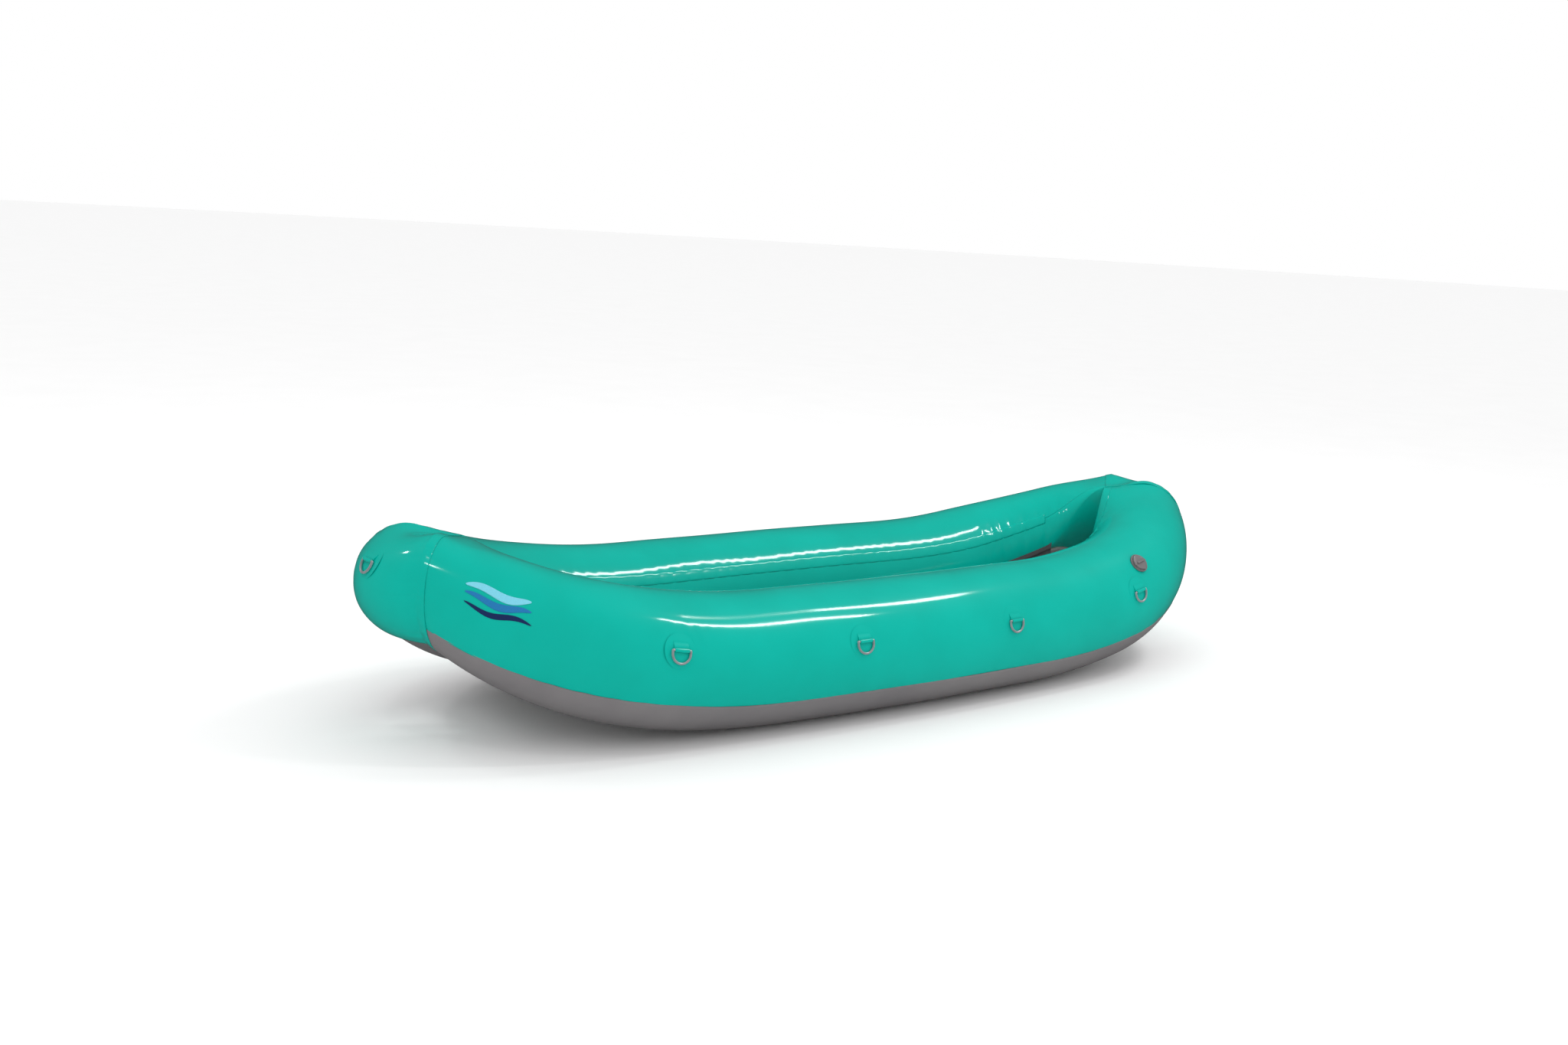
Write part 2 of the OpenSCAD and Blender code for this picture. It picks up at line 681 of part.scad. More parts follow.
starboard() port_ring_mounts();  // starboard_ring_mounts
end_ring_mount(-1);  // bow_ring_mount
end_ring_mount(1);  // stern_ring_mount
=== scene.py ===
# %% [markdown]
# # A short inflatable kayak
#
# Two air tubes lie side by side, bend together at both ends and rise into blunt noses. The tubes are
# film bladders inside a glossy coated fabric, teal above and grey below. Between them hangs a
# self-draining air floor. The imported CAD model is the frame: every piece below goes where it says,
# in metres, with +X towards the stern, -Y to port and +Z up.

import json
import math

import bmesh
import bpy
import numpy as np
from mathutils import Matrix, Vector

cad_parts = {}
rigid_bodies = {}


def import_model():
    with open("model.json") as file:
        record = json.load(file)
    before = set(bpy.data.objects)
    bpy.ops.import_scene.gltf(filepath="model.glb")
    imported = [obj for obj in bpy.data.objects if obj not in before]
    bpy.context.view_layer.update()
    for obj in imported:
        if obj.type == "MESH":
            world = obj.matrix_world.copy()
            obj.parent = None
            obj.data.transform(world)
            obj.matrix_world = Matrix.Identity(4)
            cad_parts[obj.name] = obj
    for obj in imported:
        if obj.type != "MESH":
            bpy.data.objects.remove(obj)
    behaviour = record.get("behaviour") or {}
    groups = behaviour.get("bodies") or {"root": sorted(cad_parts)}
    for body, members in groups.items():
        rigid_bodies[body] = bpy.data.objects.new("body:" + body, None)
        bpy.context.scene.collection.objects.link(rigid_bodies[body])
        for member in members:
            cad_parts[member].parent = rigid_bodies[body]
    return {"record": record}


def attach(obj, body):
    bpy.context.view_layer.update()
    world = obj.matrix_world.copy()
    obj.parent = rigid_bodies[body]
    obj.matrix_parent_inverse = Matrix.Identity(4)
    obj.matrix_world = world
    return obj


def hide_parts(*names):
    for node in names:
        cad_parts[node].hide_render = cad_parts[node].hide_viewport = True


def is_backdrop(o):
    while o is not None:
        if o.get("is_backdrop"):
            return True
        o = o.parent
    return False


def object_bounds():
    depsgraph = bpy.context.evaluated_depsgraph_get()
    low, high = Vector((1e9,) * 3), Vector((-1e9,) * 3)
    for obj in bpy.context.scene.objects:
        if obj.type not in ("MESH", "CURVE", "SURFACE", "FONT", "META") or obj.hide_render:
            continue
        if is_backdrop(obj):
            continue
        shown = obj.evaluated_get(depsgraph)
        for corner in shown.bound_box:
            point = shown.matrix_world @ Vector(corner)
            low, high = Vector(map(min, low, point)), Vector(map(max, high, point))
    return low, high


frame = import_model()
cad_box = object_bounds()
BODY = {n: b for b, members in frame["record"]["behaviour"]["bodies"].items() for n in members}

# %% [markdown]
# ## Camera
#
# The camera stands low on the port bow quarter, about 4.6 m away. It leans a few degrees, and a
# small shift frames the boat below the middle of the picture.

# %% Camera
WIDTH, HEIGHT = 2048, 1365
AIM = np.array([0, 0, 0.160])
AZIMUTH, ELEVATION, ROLL = np.radians([-39.0969, 12.9168, 3.3472])
DISTANCE = 4.591
FOCAL = 2287.12 / WIDTH           # focal length as a share of the picture's width
CENTRE = (1075.19, 800.15)        # where the optical axis meets the picture

level_reach = np.cos(ELEVATION)
back = np.array([np.sin(AZIMUTH) * level_reach, -np.cos(AZIMUTH) * level_reach, np.sin(ELEVATION)])
right = np.array([np.cos(AZIMUTH), np.sin(AZIMUTH), 0])
up = np.cross(back, right)
across = np.cos(ROLL) * right + np.sin(ROLL) * up
upward = -np.sin(ROLL) * right + np.cos(ROLL) * up
camera = bpy.data.objects.new("camera", bpy.data.cameras.new("camera"))
bpy.context.scene.collection.objects.link(camera)
bpy.context.scene.camera = camera
camera.data.lens = FOCAL * camera.data.sensor_width
camera.data.shift_x = (WIDTH / 2 - CENTRE[0]) / WIDTH
camera.data.shift_y = (CENTRE[1] - HEIGHT / 2) / WIDTH
turn = np.column_stack([across, upward, back])
camera.matrix_world = Matrix.Translation(AIM + back * DISTANCE) @ Matrix(turn.tolist()).to_4x4()
print("camera", [round(v, 3) for v in camera.location], "lens", round(camera.data.lens, 1))

# %% [markdown]
# ## Shader arithmetic
#
# A procedural finish is a sum of patterns. Written as nodes it is a maze, so two small classes let
# it be written as sums: `Val` wraps a node's output and turns `+ - * /` into Math nodes, and `Paint`
# holds one material and makes any other node.

# %% Shader arithmetic
class Val:
    """One output of a node, on which + - * / and ** each add a Math node."""

    def __init__(self, paint, socket):
        self.paint, self.socket = paint, socket

    def _math(self, operation, a, b):
        return self.paint.node("Math", dict(operation=operation), {0: a, 1: b})

    def __add__(self, other): return self._math("ADD", self, other)
    def __sub__(self, other): return self._math("SUBTRACT", self, other)
    def __mul__(self, other): return self._math("MULTIPLY", self, other)
    def __truediv__(self, other): return self._math("DIVIDE", self, other)
    def __pow__(self, other): return self._math("POWER", self, other)
    def __radd__(self, other): return self._math("ADD", other, self)
    def __rsub__(self, other): return self._math("SUBTRACT", other, self)
    def __rmul__(self, other): return self._math("MULTIPLY", other, self)

    def step(self, low, high):
        """0 below low, 1 above high and a smooth S between them."""
        return self.paint.node(
            "MapRange", dict(interpolation_type="SMOOTHSTEP"),
            {"Value": self, "From Min": low, "From Max": high}
        )


class Paint:
    """One material: constant values sit on the shader's own sockets, and feed() links what varies."""

    def __init__(self, name, **constants):
        self.material = bpy.data.materials.new(name)
        self.material.use_nodes = True
        self.tree = self.material.node_tree
        self.shader = self.tree.nodes["Principled BSDF"]
        for socket, value in constants.items():
            self.shader.inputs[socket.replace("_", " ")].default_value = value

    def node(self, kind, settings=None, inputs=None, out=0):
        """A new shader node of that kind, its settings first and then the values or links of its sockets."""
        made = self.tree.nodes.new("ShaderNode" + kind)
        for name, value in (settings or {}).items():
            if name == "stops":
                ramp = made.color_ramp.elements
                while len(ramp) < len(value):
                    ramp.new(1)
                for element, (place, colour) in zip(ramp, value):
                    element.position, element.color = place, colour
            else:
                setattr(made, name, value)
        for key, value in (inputs or {}).items():
            if isinstance(value, Val):
                self.tree.links.new(value.socket, made.inputs[key])
            else:
                made.inputs[key].default_value = value
        return Val(self, made.outputs[out])

    def objects(self):
        return self.node("TexCoord", out="Object")

    def cloth_uv(self):
        """The piece's own UV map, in metres along and across the cloth."""
        return self.node("UVMap", dict(uv_map="cloth"))

    def noise(self, where, scale, detail=2.0, roughness=0.5):
        inputs = {"Vector": where, "Scale": scale, "Detail": detail, "Roughness": roughness}
        return self.node("TexNoise", None, inputs)

    def wave(self, where, scale, axis, distortion=0.0):
        return self.node(
            "TexWave",
            dict(wave_type="BANDS", bands_direction=axis, wave_profile="SIN"),
            {"Vector": where, "Scale": scale, "Distortion": distortion},
        )

    def mix(self, share, low, high):
        """The colour low where share is 0, and high where it is 1."""
        return self.node("Mix", dict(data_type="RGBA"), {0: share, 6: low, 7: high}, out=2)

    def bump(self, height, strength, distance, below=None):
        inputs = {"Height": height, "Strength": strength, "Distance": distance}
        if below:
            inputs["Normal"] = below
        return self.node("Bump", None, inputs)

    def feed(self, **values):
        for socket, value in values.items():
            self.tree.links.new(value.socket, self.shader.inputs[socket.replace("_", " ")])
        return self


def rgb(r, g, b):
    """A colour given as it shows on a screen, 0 to 255, as the linear colour that a shader wants."""
    c = np.array([r, g, b]) / 255
    return (*np.where(c <= 0.04045, c / 12.92, ((c + 0.055) / 1.055) ** 2.4), 1.0)


# %% [markdown]
# ## Coated fabric
#
# The hull's skin is a polyester weave with a thick, glossy plastic coat. The weave shows only as a
# very shallow print through the coat, and broad soft reflections run along the tubes. So there are
# three scales: threads a millimetre apart, a faint orange-peel grain of 4 mm, and slow drifts in
# colour and gloss a hand's breadth wide. The threads follow the piece's own UV map, in metres.

# %% Coated fabric
def coated_fabric(name, colour, shade, roughness, coat):
    """Weave print plus orange peel as bump, and slow drifts of colour and gloss."""
    paint = Paint(name, Coat_Roughness=0.09, Specular_IOR_Level=0.05)
    uv, place = paint.cloth_uv(), paint.objects()
    threads = paint.wave(uv, 160, "X") * 0.5 + paint.wave(uv, 160, "Y") * 0.5
    peel = paint.noise(place, 240, 3.0, 0.6)
    drift = paint.noise(place, 5.5, 3.0, 0.55)
    haze = paint.noise(place, 14, 3.0, 0.6)
    fine = paint.bump(threads, 0.10, 0.0002)
    grain = paint.bump(peel, 0.10, 0.0006, fine)
    slow = paint.bump(drift, 0.08, 0.002, grain)
    base = paint.mix(drift.step(0.25, 0.75), shade, colour)
    paint.feed(
        Base_Color=paint.mix(threads * 0.06, base, shade),
        Roughness=roughness + drift * 0.08 + haze * 0.06,
        Coat_Weight=coat * (0.85 + haze * 0.3),
        Normal=slow,
    )
    print(name, "with", len(paint.tree.nodes), "nodes")
    return paint.material


TEAL = coated_fabric("teal coated fabric", rgb(0, 176, 160), rgb(0, 169, 153), 0.34, 0.80)
GREY = coated_fabric("grey coated fabric", rgb(126, 123, 124), rgb(118, 115, 117), 0.42, 0.12)

# %% [markdown]
# ## The hull's form
#
# Both tubes follow one path seen from above, measured by `s`, the length along it from midships: almost
# straight, then a bend of 38.5 degrees towards the centre plane, and last an arc round the nose.
# Round the tube, `theta` is 0 outboard, 90 on top, 180 inboard and 270 underneath. With those two
# numbers every seam, patch and fitting has an address, and all skins come from one function.

# %% The tube's path
TUBE_R, TIP_R, TAPER = 0.160, 0.114, 3.56
SIDE_L, NOSE_L, BEND, BEND_HALF = 0.949, 0.254, 38.5, 0.243
TIP_OFFSET, LEVEL_HALF, KICK, KICK_POWER, NOSE_RISE = 0.066, 0.365, 0.185, 2.35, -0.010
CURVE = math.degrees(1 / 7.960)   # degrees that the long sides turn in each metre
HALF_L = SIDE_L + NOSE_L
TIP_HEADING = BEND + CURVE * HALF_L
NOSE_R = TIP_OFFSET / math.cos(math.radians(TIP_HEADING))
NOSE_END = HALF_L + NOSE_R * math.radians(90 - TIP_HEADING)
MID = 0.00015                     # the tubes' skins keep this far from the centre plane


def share(x, low, high):
    """How far x is from low to high, kept between 0 and 1."""
    return np.clip((x - low) / (high - low), 0, 1)


def smooth(x, low, high):
    """The same with an S curve, three squares less two cubes."""
    t = share(x, low, high)
    return t * t * (3 - 2 * t)


def side_heading(s):
    return BEND * share(s, SIDE_L - BEND_HALF, SIDE_L + BEND_HALF) + CURVE * s


fine_s = np.linspace(0, HALF_L, 6001)
turned = np.radians(side_heading((fine_s[1:] + fine_s[:-1]) / 2))
path_x = np.concatenate([[0], np.cumsum(np.cos(turned))]) * HALF_L / 6000
path_in = np.concatenate([[0], np.cumsum(np.sin(turned))]) * HALF_L / 6000
NOSE_X = path_x[-1] - NOSE_R * math.sin(math.radians(TIP_HEADING))
TIP_SLOPE = math.atan(KICK * KICK_POWER / (HALF_L - LEVEL_HALF))


def path(s):
    """For s at or beyond midships: x, distance from the centre plane, height, heading and slope, radius.

    The path's direction is integrated into x and inset; past the tip it is an arc about the nose's axis.
    Height and radius change with powers of the way from the level middle to the tip."""
    s = np.asarray(s, float)
    nose = s > HALF_L
    along = share(s, LEVEL_HALF, HALF_L)
    heading = np.radians(np.where(nose, TIP_HEADING + np.degrees((s - HALF_L) / NOSE_R), side_heading(s)))
    x = np.where(nose, NOSE_X + NOSE_R * np.sin(heading), np.interp(s, fine_s, path_x))
    y = np.where(nose, NOSE_R * np.cos(heading), TIP_OFFSET + path_in[-1] - np.interp(s, fine_s, path_in))
    round_nose = share(s, HALF_L, NOSE_END)
    z = TUBE_R + KICK * along**KICK_POWER + NOSE_RISE * np.sin(np.pi / 2 * round_nose)
    slope = np.arctan(KICK * KICK_POWER * along ** (KICK_POWER - 1) / (HALF_L - LEVEL_HALF))
    slope = np.where(nose, TIP_SLOPE * (1 - round_nose), slope)
    return x, y, z, heading, slope, TUBE_R + (TIP_R - TUBE_R) * along**TAPER


NOSE_Z = float(path(NOSE_END)[2])
print("tip heading", round(TIP_HEADING, 2), "nose radius", round(NOSE_R, 4),
      "boat's half length", round(NOSE_X + NOSE_R + TIP_R, 3))

# %% [markdown]
# ## From address to point
#
# Where the tubes meet near a nose, two plain cylinders would leave a deep V. The real skin is welded
# across it, so the V fills up smoothly towards the nose and the nose is one full, round form. Here
# the inboard quarter of each section is lifted, more and more, to a nearly level deck.

# %% From address to point
FILL_FROM, FILL_TO = 0.98, 1.20  # along the path, where the valley starts to fill and is full
DECK_DIP = 0.08                  # the deck sags this share of the tube's radius at the centre plane


def tube(s, theta, grow=0.0, port=True):
    """Points of a side tube, grow beyond its surface.

    A section is an ellipse: out from the path by radius * cos(theta), up by radius / cos(slope) * sin(theta).
    On top that stretch fades towards the nose, where the fabric is pulled flat.
    Past the centre plane it is cut, and near the nose its inboard top and bottom blend into the deck."""
    s, theta, grow = np.broadcast_arrays(*(np.asarray(v, float) for v in (s, theta, grow)))
    end = np.where(s < 0, -1.0, 1.0)
    x, y, z, heading, slope, radius = path(np.abs(s))
    t = np.radians(theta)
    out = (radius + grow) * np.cos(t)
    level = 0.85 * smooth(np.abs(s), 1.00, 1.17) * (np.sin(t) >= 0)
    tall = radius * (1 + (1 / np.cos(slope) - 1) * (1 - level)) + grow
    rise = tall * np.sin(t)
    reach = (y - MID - np.clip(-grow, 0, None)) / np.cos(np.minimum(heading, 1.2))
    reach = np.where(np.abs(s) > HALF_L, NOSE_R, reach)
    full = smooth(np.abs(s), FILL_FROM, FILL_TO)
    meet = np.arccos(np.clip(-reach / (radius + grow), -1, 0))  # where the section meets the centre plane
    bent = np.where(np.sin(t) >= 0, np.mod(theta, 360), 360 - np.mod(theta, 360))
    bent = np.radians(bent)
    q = np.clip(-out / reach, 0, 1)
    pole = (NOSE_Z - z) * np.sign(np.sin(t)) + (TIP_R + grow) * (1 - DECK_DIP)
    deck = tall + (pole - tall) * q * q * (3 - 2 * q)
    below = 1 - smooth(bent, meet, np.maximum(meet + 0.5, np.pi))
    lift = np.where(bent > meet, deck - tall * np.sin(meet), deck - tall * np.sin(bent)) * below
    rise = rise + np.where(out < 0, np.sign(np.sin(t)) * full * np.maximum(lift, 0), 0)
    out = np.maximum(out, -reach)
    px = x + out * np.sin(heading)
    py = y + out * np.cos(heading)
    return np.stack([end * px, np.where(port, -1, 1) * py, z + rise], -1)


def tube_normal(s, theta, port=True):
    """Unit vector out of the surface: the cross product of short steps along it and round it."""
    e = 1e-4
    a = tube(s + e, theta, 0, port) - tube(s - e, theta, 0, port)
    b = tube(s, theta + e * 300, 0, port) - tube(s, theta - e * 300, 0, port)
    n = np.cross(a, b) * (1 if port else -1)
    return n / np.linalg.norm(n, axis=-1, keepdims=True)


check = tube(0, np.array([0, 90, 180]))
print("midships section: outboard", check[0].round(3), "top", check[1].round(3), "inboard", check[2].round(3))

# %% [markdown]
# ## Making a piece
#
# Every skin is a grid of points: rows along the boat and columns round the tube. The grid goes into a
# mesh in one call, carries a UV map in metres, is turned so that its faces point outwards, and gets
# its thickness from a Solidify modifier, inwards.

# %% Making a piece
def to_mesh(name, points, faces):
    mesh = bpy.data.meshes.new(name)
    mesh.from_pydata(np.asarray(points, float).reshape(-1, 3).tolist(), [], np.asarray(faces).tolist())
    return mesh


def grid_faces(rows, columns, round_rows=False, round_columns=False):
    """Four-sided faces between neighbours of a grid, closed across its ends where asked."""
    i = np.arange(rows if round_rows else rows - 1)[:, None]
    j = np.arange(columns if round_columns else columns - 1)[None, :]
    i2, j2 = (i + 1) % rows, (j + 1) % columns
    corners = [i * columns + j, i2 * columns + j, i2 * columns + j2, i * columns + j2]
    return np.stack(np.broadcast_arrays(*corners), -1).reshape(-1, 4)


def clean(mesh, merge=1e-6, turn=True):
    """Merges doubles and drops what collapsed; turn makes a closed form's faces point outwards."""
    work = bmesh.new()
    work.from_mesh(mesh)
    bmesh.ops.remove_doubles(work, verts=work.verts, dist=merge)
    bmesh.ops.dissolve_degenerate(work, edges=work.edges, dist=1e-7)
    if turn:
        bmesh.ops.recalc_face_normals(work, faces=work.faces)
    work.to_mesh(mesh)
    work.free()


def add_piece(name, mesh, material, node, stands_for=(), smooth_by=None):
    """Links the mesh as an object that rides on node's body and stands for the nodes named."""
    piece = bpy.data.objects.new(name, mesh)
    bpy.context.scene.collection.objects.link(piece)
    mesh.materials.append(material)
    mesh.shade_smooth()
    if smooth_by:
        mesh.set_sharp_from_angle(angle=math.radians(smooth_by))
    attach(piece, BODY[node])
    if stands_for:
        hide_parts(*stands_for)
    return piece


def thicken(piece, thickness, offset=-1.0):
    wall = piece.modifiers.new("thickness", "SOLIDIFY")
    wall.thickness, wall.offset, wall.use_even_offset = thickness, offset, False
    return piece


def skin(name, s, theta, grow, port, material, stands_for, node=None, thickness=0.0012):
    """A fabric panel on a tube: tube() on a grid of s and theta, with UVs of arc lengths in metres."""
    points = tube(s, theta, grow, port)
    rows, columns = points.shape[:2]
    faces = grid_faces(rows, columns)
    a, b, c = (points.reshape(-1, 3)[faces[:, k]] for k in (0, 1, 3))
    facing = np.cross(b - a, c - a)
    away = tube_normal(np.broadcast_to(s, (rows, columns)), np.broadcast_to(theta, (rows, columns)), port)
    if (facing * away.reshape(-1, 3)[faces[:, 0]]).sum() < 0:
        faces = faces[:, ::-1]
    mesh = to_mesh(name, points, faces)
    long = np.broadcast_to(s, (rows, columns)).ravel()
    wide = np.radians(np.broadcast_to(theta, (rows, columns))).ravel() * TUBE_R
    put_uv(mesh, faces, np.stack([long, wide], -1))
    clean(mesh, turn=False)
    piece = add_piece(name, mesh, material, node or stands_for[0], stands_for)
    return thicken(piece, thickness)


def put_uv(mesh, faces, uv):
    """One UV pair for each corner, from one pair for each vertex."""
    layer = mesh.uv_layers.new(name="cloth")
    layer.data.foreach_set("uv", uv[np.asarray(faces).ravel()].astype(np.float32).ravel())


# %% [markdown]
# ## How the fabric moves
#
# Air pressure pulls the fabric tight, and it can only be untrue in a few ways: it puckers beside
# welded seams, creases where the tube bends and its inboard side is too long, pulls in under the
# weld of the nose cap, and is never exactly round. Each is a small height of a millimetre or so,
# added along the surface's normal as a sum of waves.

# %% How the fabric moves
SEAM_THETA = 145.0                # middle of the welded strip, above the cockpit
WRAP_ANGLE = 28.0                 # the grey wrap starts this far below the outboard horizontal


def bell(x, middle, width):
    """A bell curve: e to the minus square of the distance over the width."""
    return np.exp(-(((x - middle) / width) ** 2))


def folds(phase, sharpness=3):
    """Narrow dents between broad crowns: a cosine's lower half raised to a power, pointing inwards."""
    return -((0.5 + 0.5 * np.cos(phase)) ** sharpness)


def untrue(s, theta, seed=0.0):
    """Height of the fabric over the perfect tube, in metres."""
    a = np.abs(s)
    slow = np.sin(9.1 * s + 0.05 * theta + seed) * np.sin(0.071 * theta + 2.3 * s + seed) * 0.0007
    slow = slow + np.sin(17.3 * s - 0.04 * theta + 2 * seed) * 0.0003
    beside = bell(theta, SEAM_THETA - 9, 7) + bell(theta, SEAM_THETA + 9, 7)
    wander = 2.4 * np.sin(11 * s + seed) + 1.9 * np.sin(26.7 * s - seed)
    pucker = folds(2 * np.pi * s / 0.047 + wander) * beside
    pucker = pucker * (0.0003 + 0.0012 * smooth(a, 0.62, 0.85) * (1 - smooth(a, 1.0, 1.1)))
    bend = smooth(a, 0.66, 0.82) * (1 - smooth(a, 1.00, 1.12))
    inboard = smooth(theta, 122, 160) * (1 - smooth(theta, 215, 245))
    crease = folds(2 * np.pi * a / 0.083 + 0.9 * np.sin(0.06 * theta + seed) + seed, 5)
    crease = crease * bend * inboard * 0.0018
    crease = crease + folds(2 * np.pi * a / 0.051 + 0.02 * theta + seed, 4) * bend * inboard * 0.0009
    edge = bell(theta, -WRAP_ANGLE, 6) + bell(theta, 360 - WRAP_ANGLE, 6)
    scallop = folds(2 * np.pi * s / 0.064 + 2 * np.sin(7 * s), 2) * edge * (0.0004 + 0.0008 * bend)
    tail = s + 0.704 + 0.0006 * (theta - 27)
    tug = folds(2 * np.pi * tail / 0.030, 2) * bell(s, -0.704, 0.055) * bell(theta, 30, 9) * 0.0011
    cinch = -0.0010 * bell(a, HALF_L + 0.004, 0.008)
    gather = folds((theta + 5 * np.sin(theta / 9)) / 3.1, 2) * bell(a, HALF_L, 0.030) * 0.0008
    return slow + pucker + crease + scallop + tug + cinch + gather


along = np.linspace(-1.2, 1.2, 9)
print("fabric heights in mm at theta 150:", (untrue(along, 150.0) * 1000).round(1))

# %% [markdown]
# ## The tube skins
#
# Four panels make each tube: a teal cover over the outboard side and the top, a teal panel from the
# seam down to the bladder zipper, and a grey wrap underneath that takes the wear. The wrap laps a few
# millimetres over the cover, as a weld does, so its upper edge throws a thin shadow line.

# %% The tube skins
def sides():
    return [("port", True, 0.0), ("starboard", False, 2.1)]


def stations(low, high, step):
    return np.linspace(low, high, int(round((high - low) / step)) + 1)[:, None]


ZIP_THETA = 182.0
LAP = 1.6                         # degrees that the wrap laps over the cover
for side, port, seed in sides():
    s = stations(-HALF_L, HALF_L, 0.0075)
    for part, low, high, step, grow, paint, slot in (
        ("cover", -WRAP_ANGLE, SEAM_THETA, 1.6, 0.0, TEAL, "teal_fabric"),
        ("inner_panel", SEAM_THETA, ZIP_THETA - 1, 1.6, 0.0, TEAL, "teal_fabric"),
        ("wrap", ZIP_THETA + 1, 360 - WRAP_ANGLE + LAP, 2.2, 0.0009, GREY, "grey_fabric"),
    ):
        theta = np.linspace(low, high, int((high - low) / step) + 1)[None, :]
        piece = skin(f"{side}_{part}_fabric", s, theta, grow + untrue(s, theta, seed), port, paint,
                     [f"{side}_{part}"])
        print(piece.name, len(piece.data.vertices), "vertices")

# %% [markdown]
# ## Nose caps
#
# One moulded-looking cap closes each end. It is a single panel bent round the boat's nose, so its
# grid runs from one tube's seam round to the other's, and across from a pole on deck, over the
# outside and back to a pole underneath. It laps over the covers and wraps by 18 mm.

# %% Nose caps
CAP_LAP = 0.018


def nose_cap(end, name, seed):
    """tube() on both sides of the nose, joined in the centre plane; the poles' many points merge into one."""
    near = np.linspace(HALF_L - CAP_LAP, NOSE_END, 46)
    # columns from the deck's pole to the underside's, closer together on the outside
    inboard = np.linspace(179.5, 92, 28)
    theta = np.concatenate([inboard, np.linspace(90, -90, 100), -inboard[::-1]])
    s2, t2 = end * near[:, None], theta[None, :]
    grow = 0.00135 + untrue(s2, t2, seed) * (1 - 0.8 * share(np.abs(t2), 90, 120))
    port = tube(s2, t2, grow, True)
    other = (port * [1, -1, 1])[::-1][1:]
    points = np.concatenate([port, other])
    rows, columns = points.shape[:2]
    faces = grid_faces(rows, columns)
    centre = np.array([end * NOSE_X, 0, NOSE_Z])
    a, b, c = (points.reshape(-1, 3)[faces[:, k]] for k in (0, 1, 3))
    if (np.cross(b - a, c - a) * (a - centre)).sum() < 0:
        faces = faces[:, ::-1]
    mesh = to_mesh(name, points, faces)
    long = np.concatenate([near, 2 * NOSE_END - near[::-1][1:]])
    uv = np.stack(np.broadcast_arrays(long[:, None], np.radians(theta)[None, :] * TIP_R), -1).reshape(-1, 2)
    put_uv(mesh, faces, uv)
    clean(mesh, 2e-5, turn=False)
    cap = name.replace("_fabric", "")
    piece = add_piece(name, mesh, TEAL, cap, [cap])
    return thicken(piece, 0.0012)


for end, name, seed in ((-1, "bow_cap_fabric", 0.4), (1, "stern_cap_fabric", 1.9)):
    print(name, len(nose_cap(end, name, seed).data.vertices), "vertices")

# %% [markdown]
# ## Welded strip
#
# Above the cockpit a narrow strip of the same fabric is welded over the joint between cover and inner
# panel. It lies on the skin, follows its puckers, and its edges are pressed thin.

# %% Welded strip
STRIP_W, STRIP_HALF = 0.033, 0.977
for side, port, seed in sides():
    half = math.degrees(STRIP_W / TUBE_R / 2)
    theta = SEAM_THETA + np.linspace(-half, half, 15)[None, :]
    s = stations(-STRIP_HALF, STRIP_HALF, 0.005)
    press = 0.0010 * smooth(half - np.abs(theta - SEAM_THETA), 0, 1.4)
    stitch = folds(2 * np.pi * s / 0.047 + 1.6 * np.sin(11 * s + seed)) * 0.0009
    stitch = stitch * bell(np.abs(theta - SEAM_THETA), half, 2.2)
    piece = skin(f"{side}_seam_tape", s, theta, untrue(s, theta, seed) + 0.0006 + press + stitch, port, TEAL,
                 [f"{side}_seam_strip"], thickness=0.0006)
print("strips of", STRIP_W * 1000, "mm, rows 5 mm apart")

# %% [markdown]
# ## Bladders
#
# Inside each tube a clear film bladder holds the air. Nothing of it shows, so it is a plain smooth
# skin on the same path, a few millimetres inside the fabric, with round ends.

# %% Bladders
film = Paint("clear bladder film", Roughness=0.3, Alpha=1.0)
haze = film.noise(film.objects(), 12.0)
film.feed(Base_Color=film.mix(haze, rgb(205, 210, 200), rgb(220, 224, 214)))
FILM = film.material


def bladder(name, port, node):
    """A closed sock: rings of the tube function that shrink to a point past each tip."""
    s = np.linspace(-HALF_L, HALF_L, 121)
    theta = np.linspace(0, 360, 49)[:-1]
    body = tube(s[:, None], theta[None, :], -0.0055, port)
    ends = []
    for end in (-1, 1):
        last = body[0 if end < 0 else -1]
        middle = last.mean(0)
        heading = math.radians(TIP_HEADING)
        ahead = np.array([end * math.cos(heading), (1 if port else -1) * math.sin(heading), 0])
        turn = np.radians([20, 40, 60, 75, 85, 90])[:, None, None]
        ends.append(middle + (last - middle)[None] * np.cos(turn) + ahead * np.sin(turn) * 0.078)
    rings = np.concatenate([ends[0][::-1], body, ends[1]])
    rings[..., 1] = np.maximum(rings[..., 1], 0.004) if not port else np.minimum(rings[..., 1], -0.004)
    mesh = to_mesh(name, rings, grid_faces(len(rings), len(theta), round_columns=True))
    clean(mesh, 1e-5)
    return thicken(add_piece(name, mesh, FILM, node, [node]), 0.0008)


for side, port, _ in sides():
    print(bladder(f"{side}_bladder_film", port, f"{side}_bladder").name)

# %% [markdown]
# ## Air floor
#
# The floor is an air cushion between the tubes. Inside it, tapes join top and bottom, so the pressure
# makes it into a row of lengthwise lobes with grooves between. Water that comes in runs along its
# edges and out through eyelets in the grey flanges that lace the floor to the tubes.

# %% Air floor
FLOOR_T, FLOOR_LIFT, FLOOR_HALF, FLOOR_FIT = 0.080, 0.015, 0.940, 0.004
LOBES = 5


def well_half(s, height):
    """Half the gap between the tubes at a height over their lowest line: the path's offset less a chord."""
    x, y, z, heading, slope, radius = path(np.abs(s))
    chord = np.sqrt(np.maximum(radius**2 - (height - TUBE_R) ** 2, 1e-6))
    return y - chord / np.cos(heading)


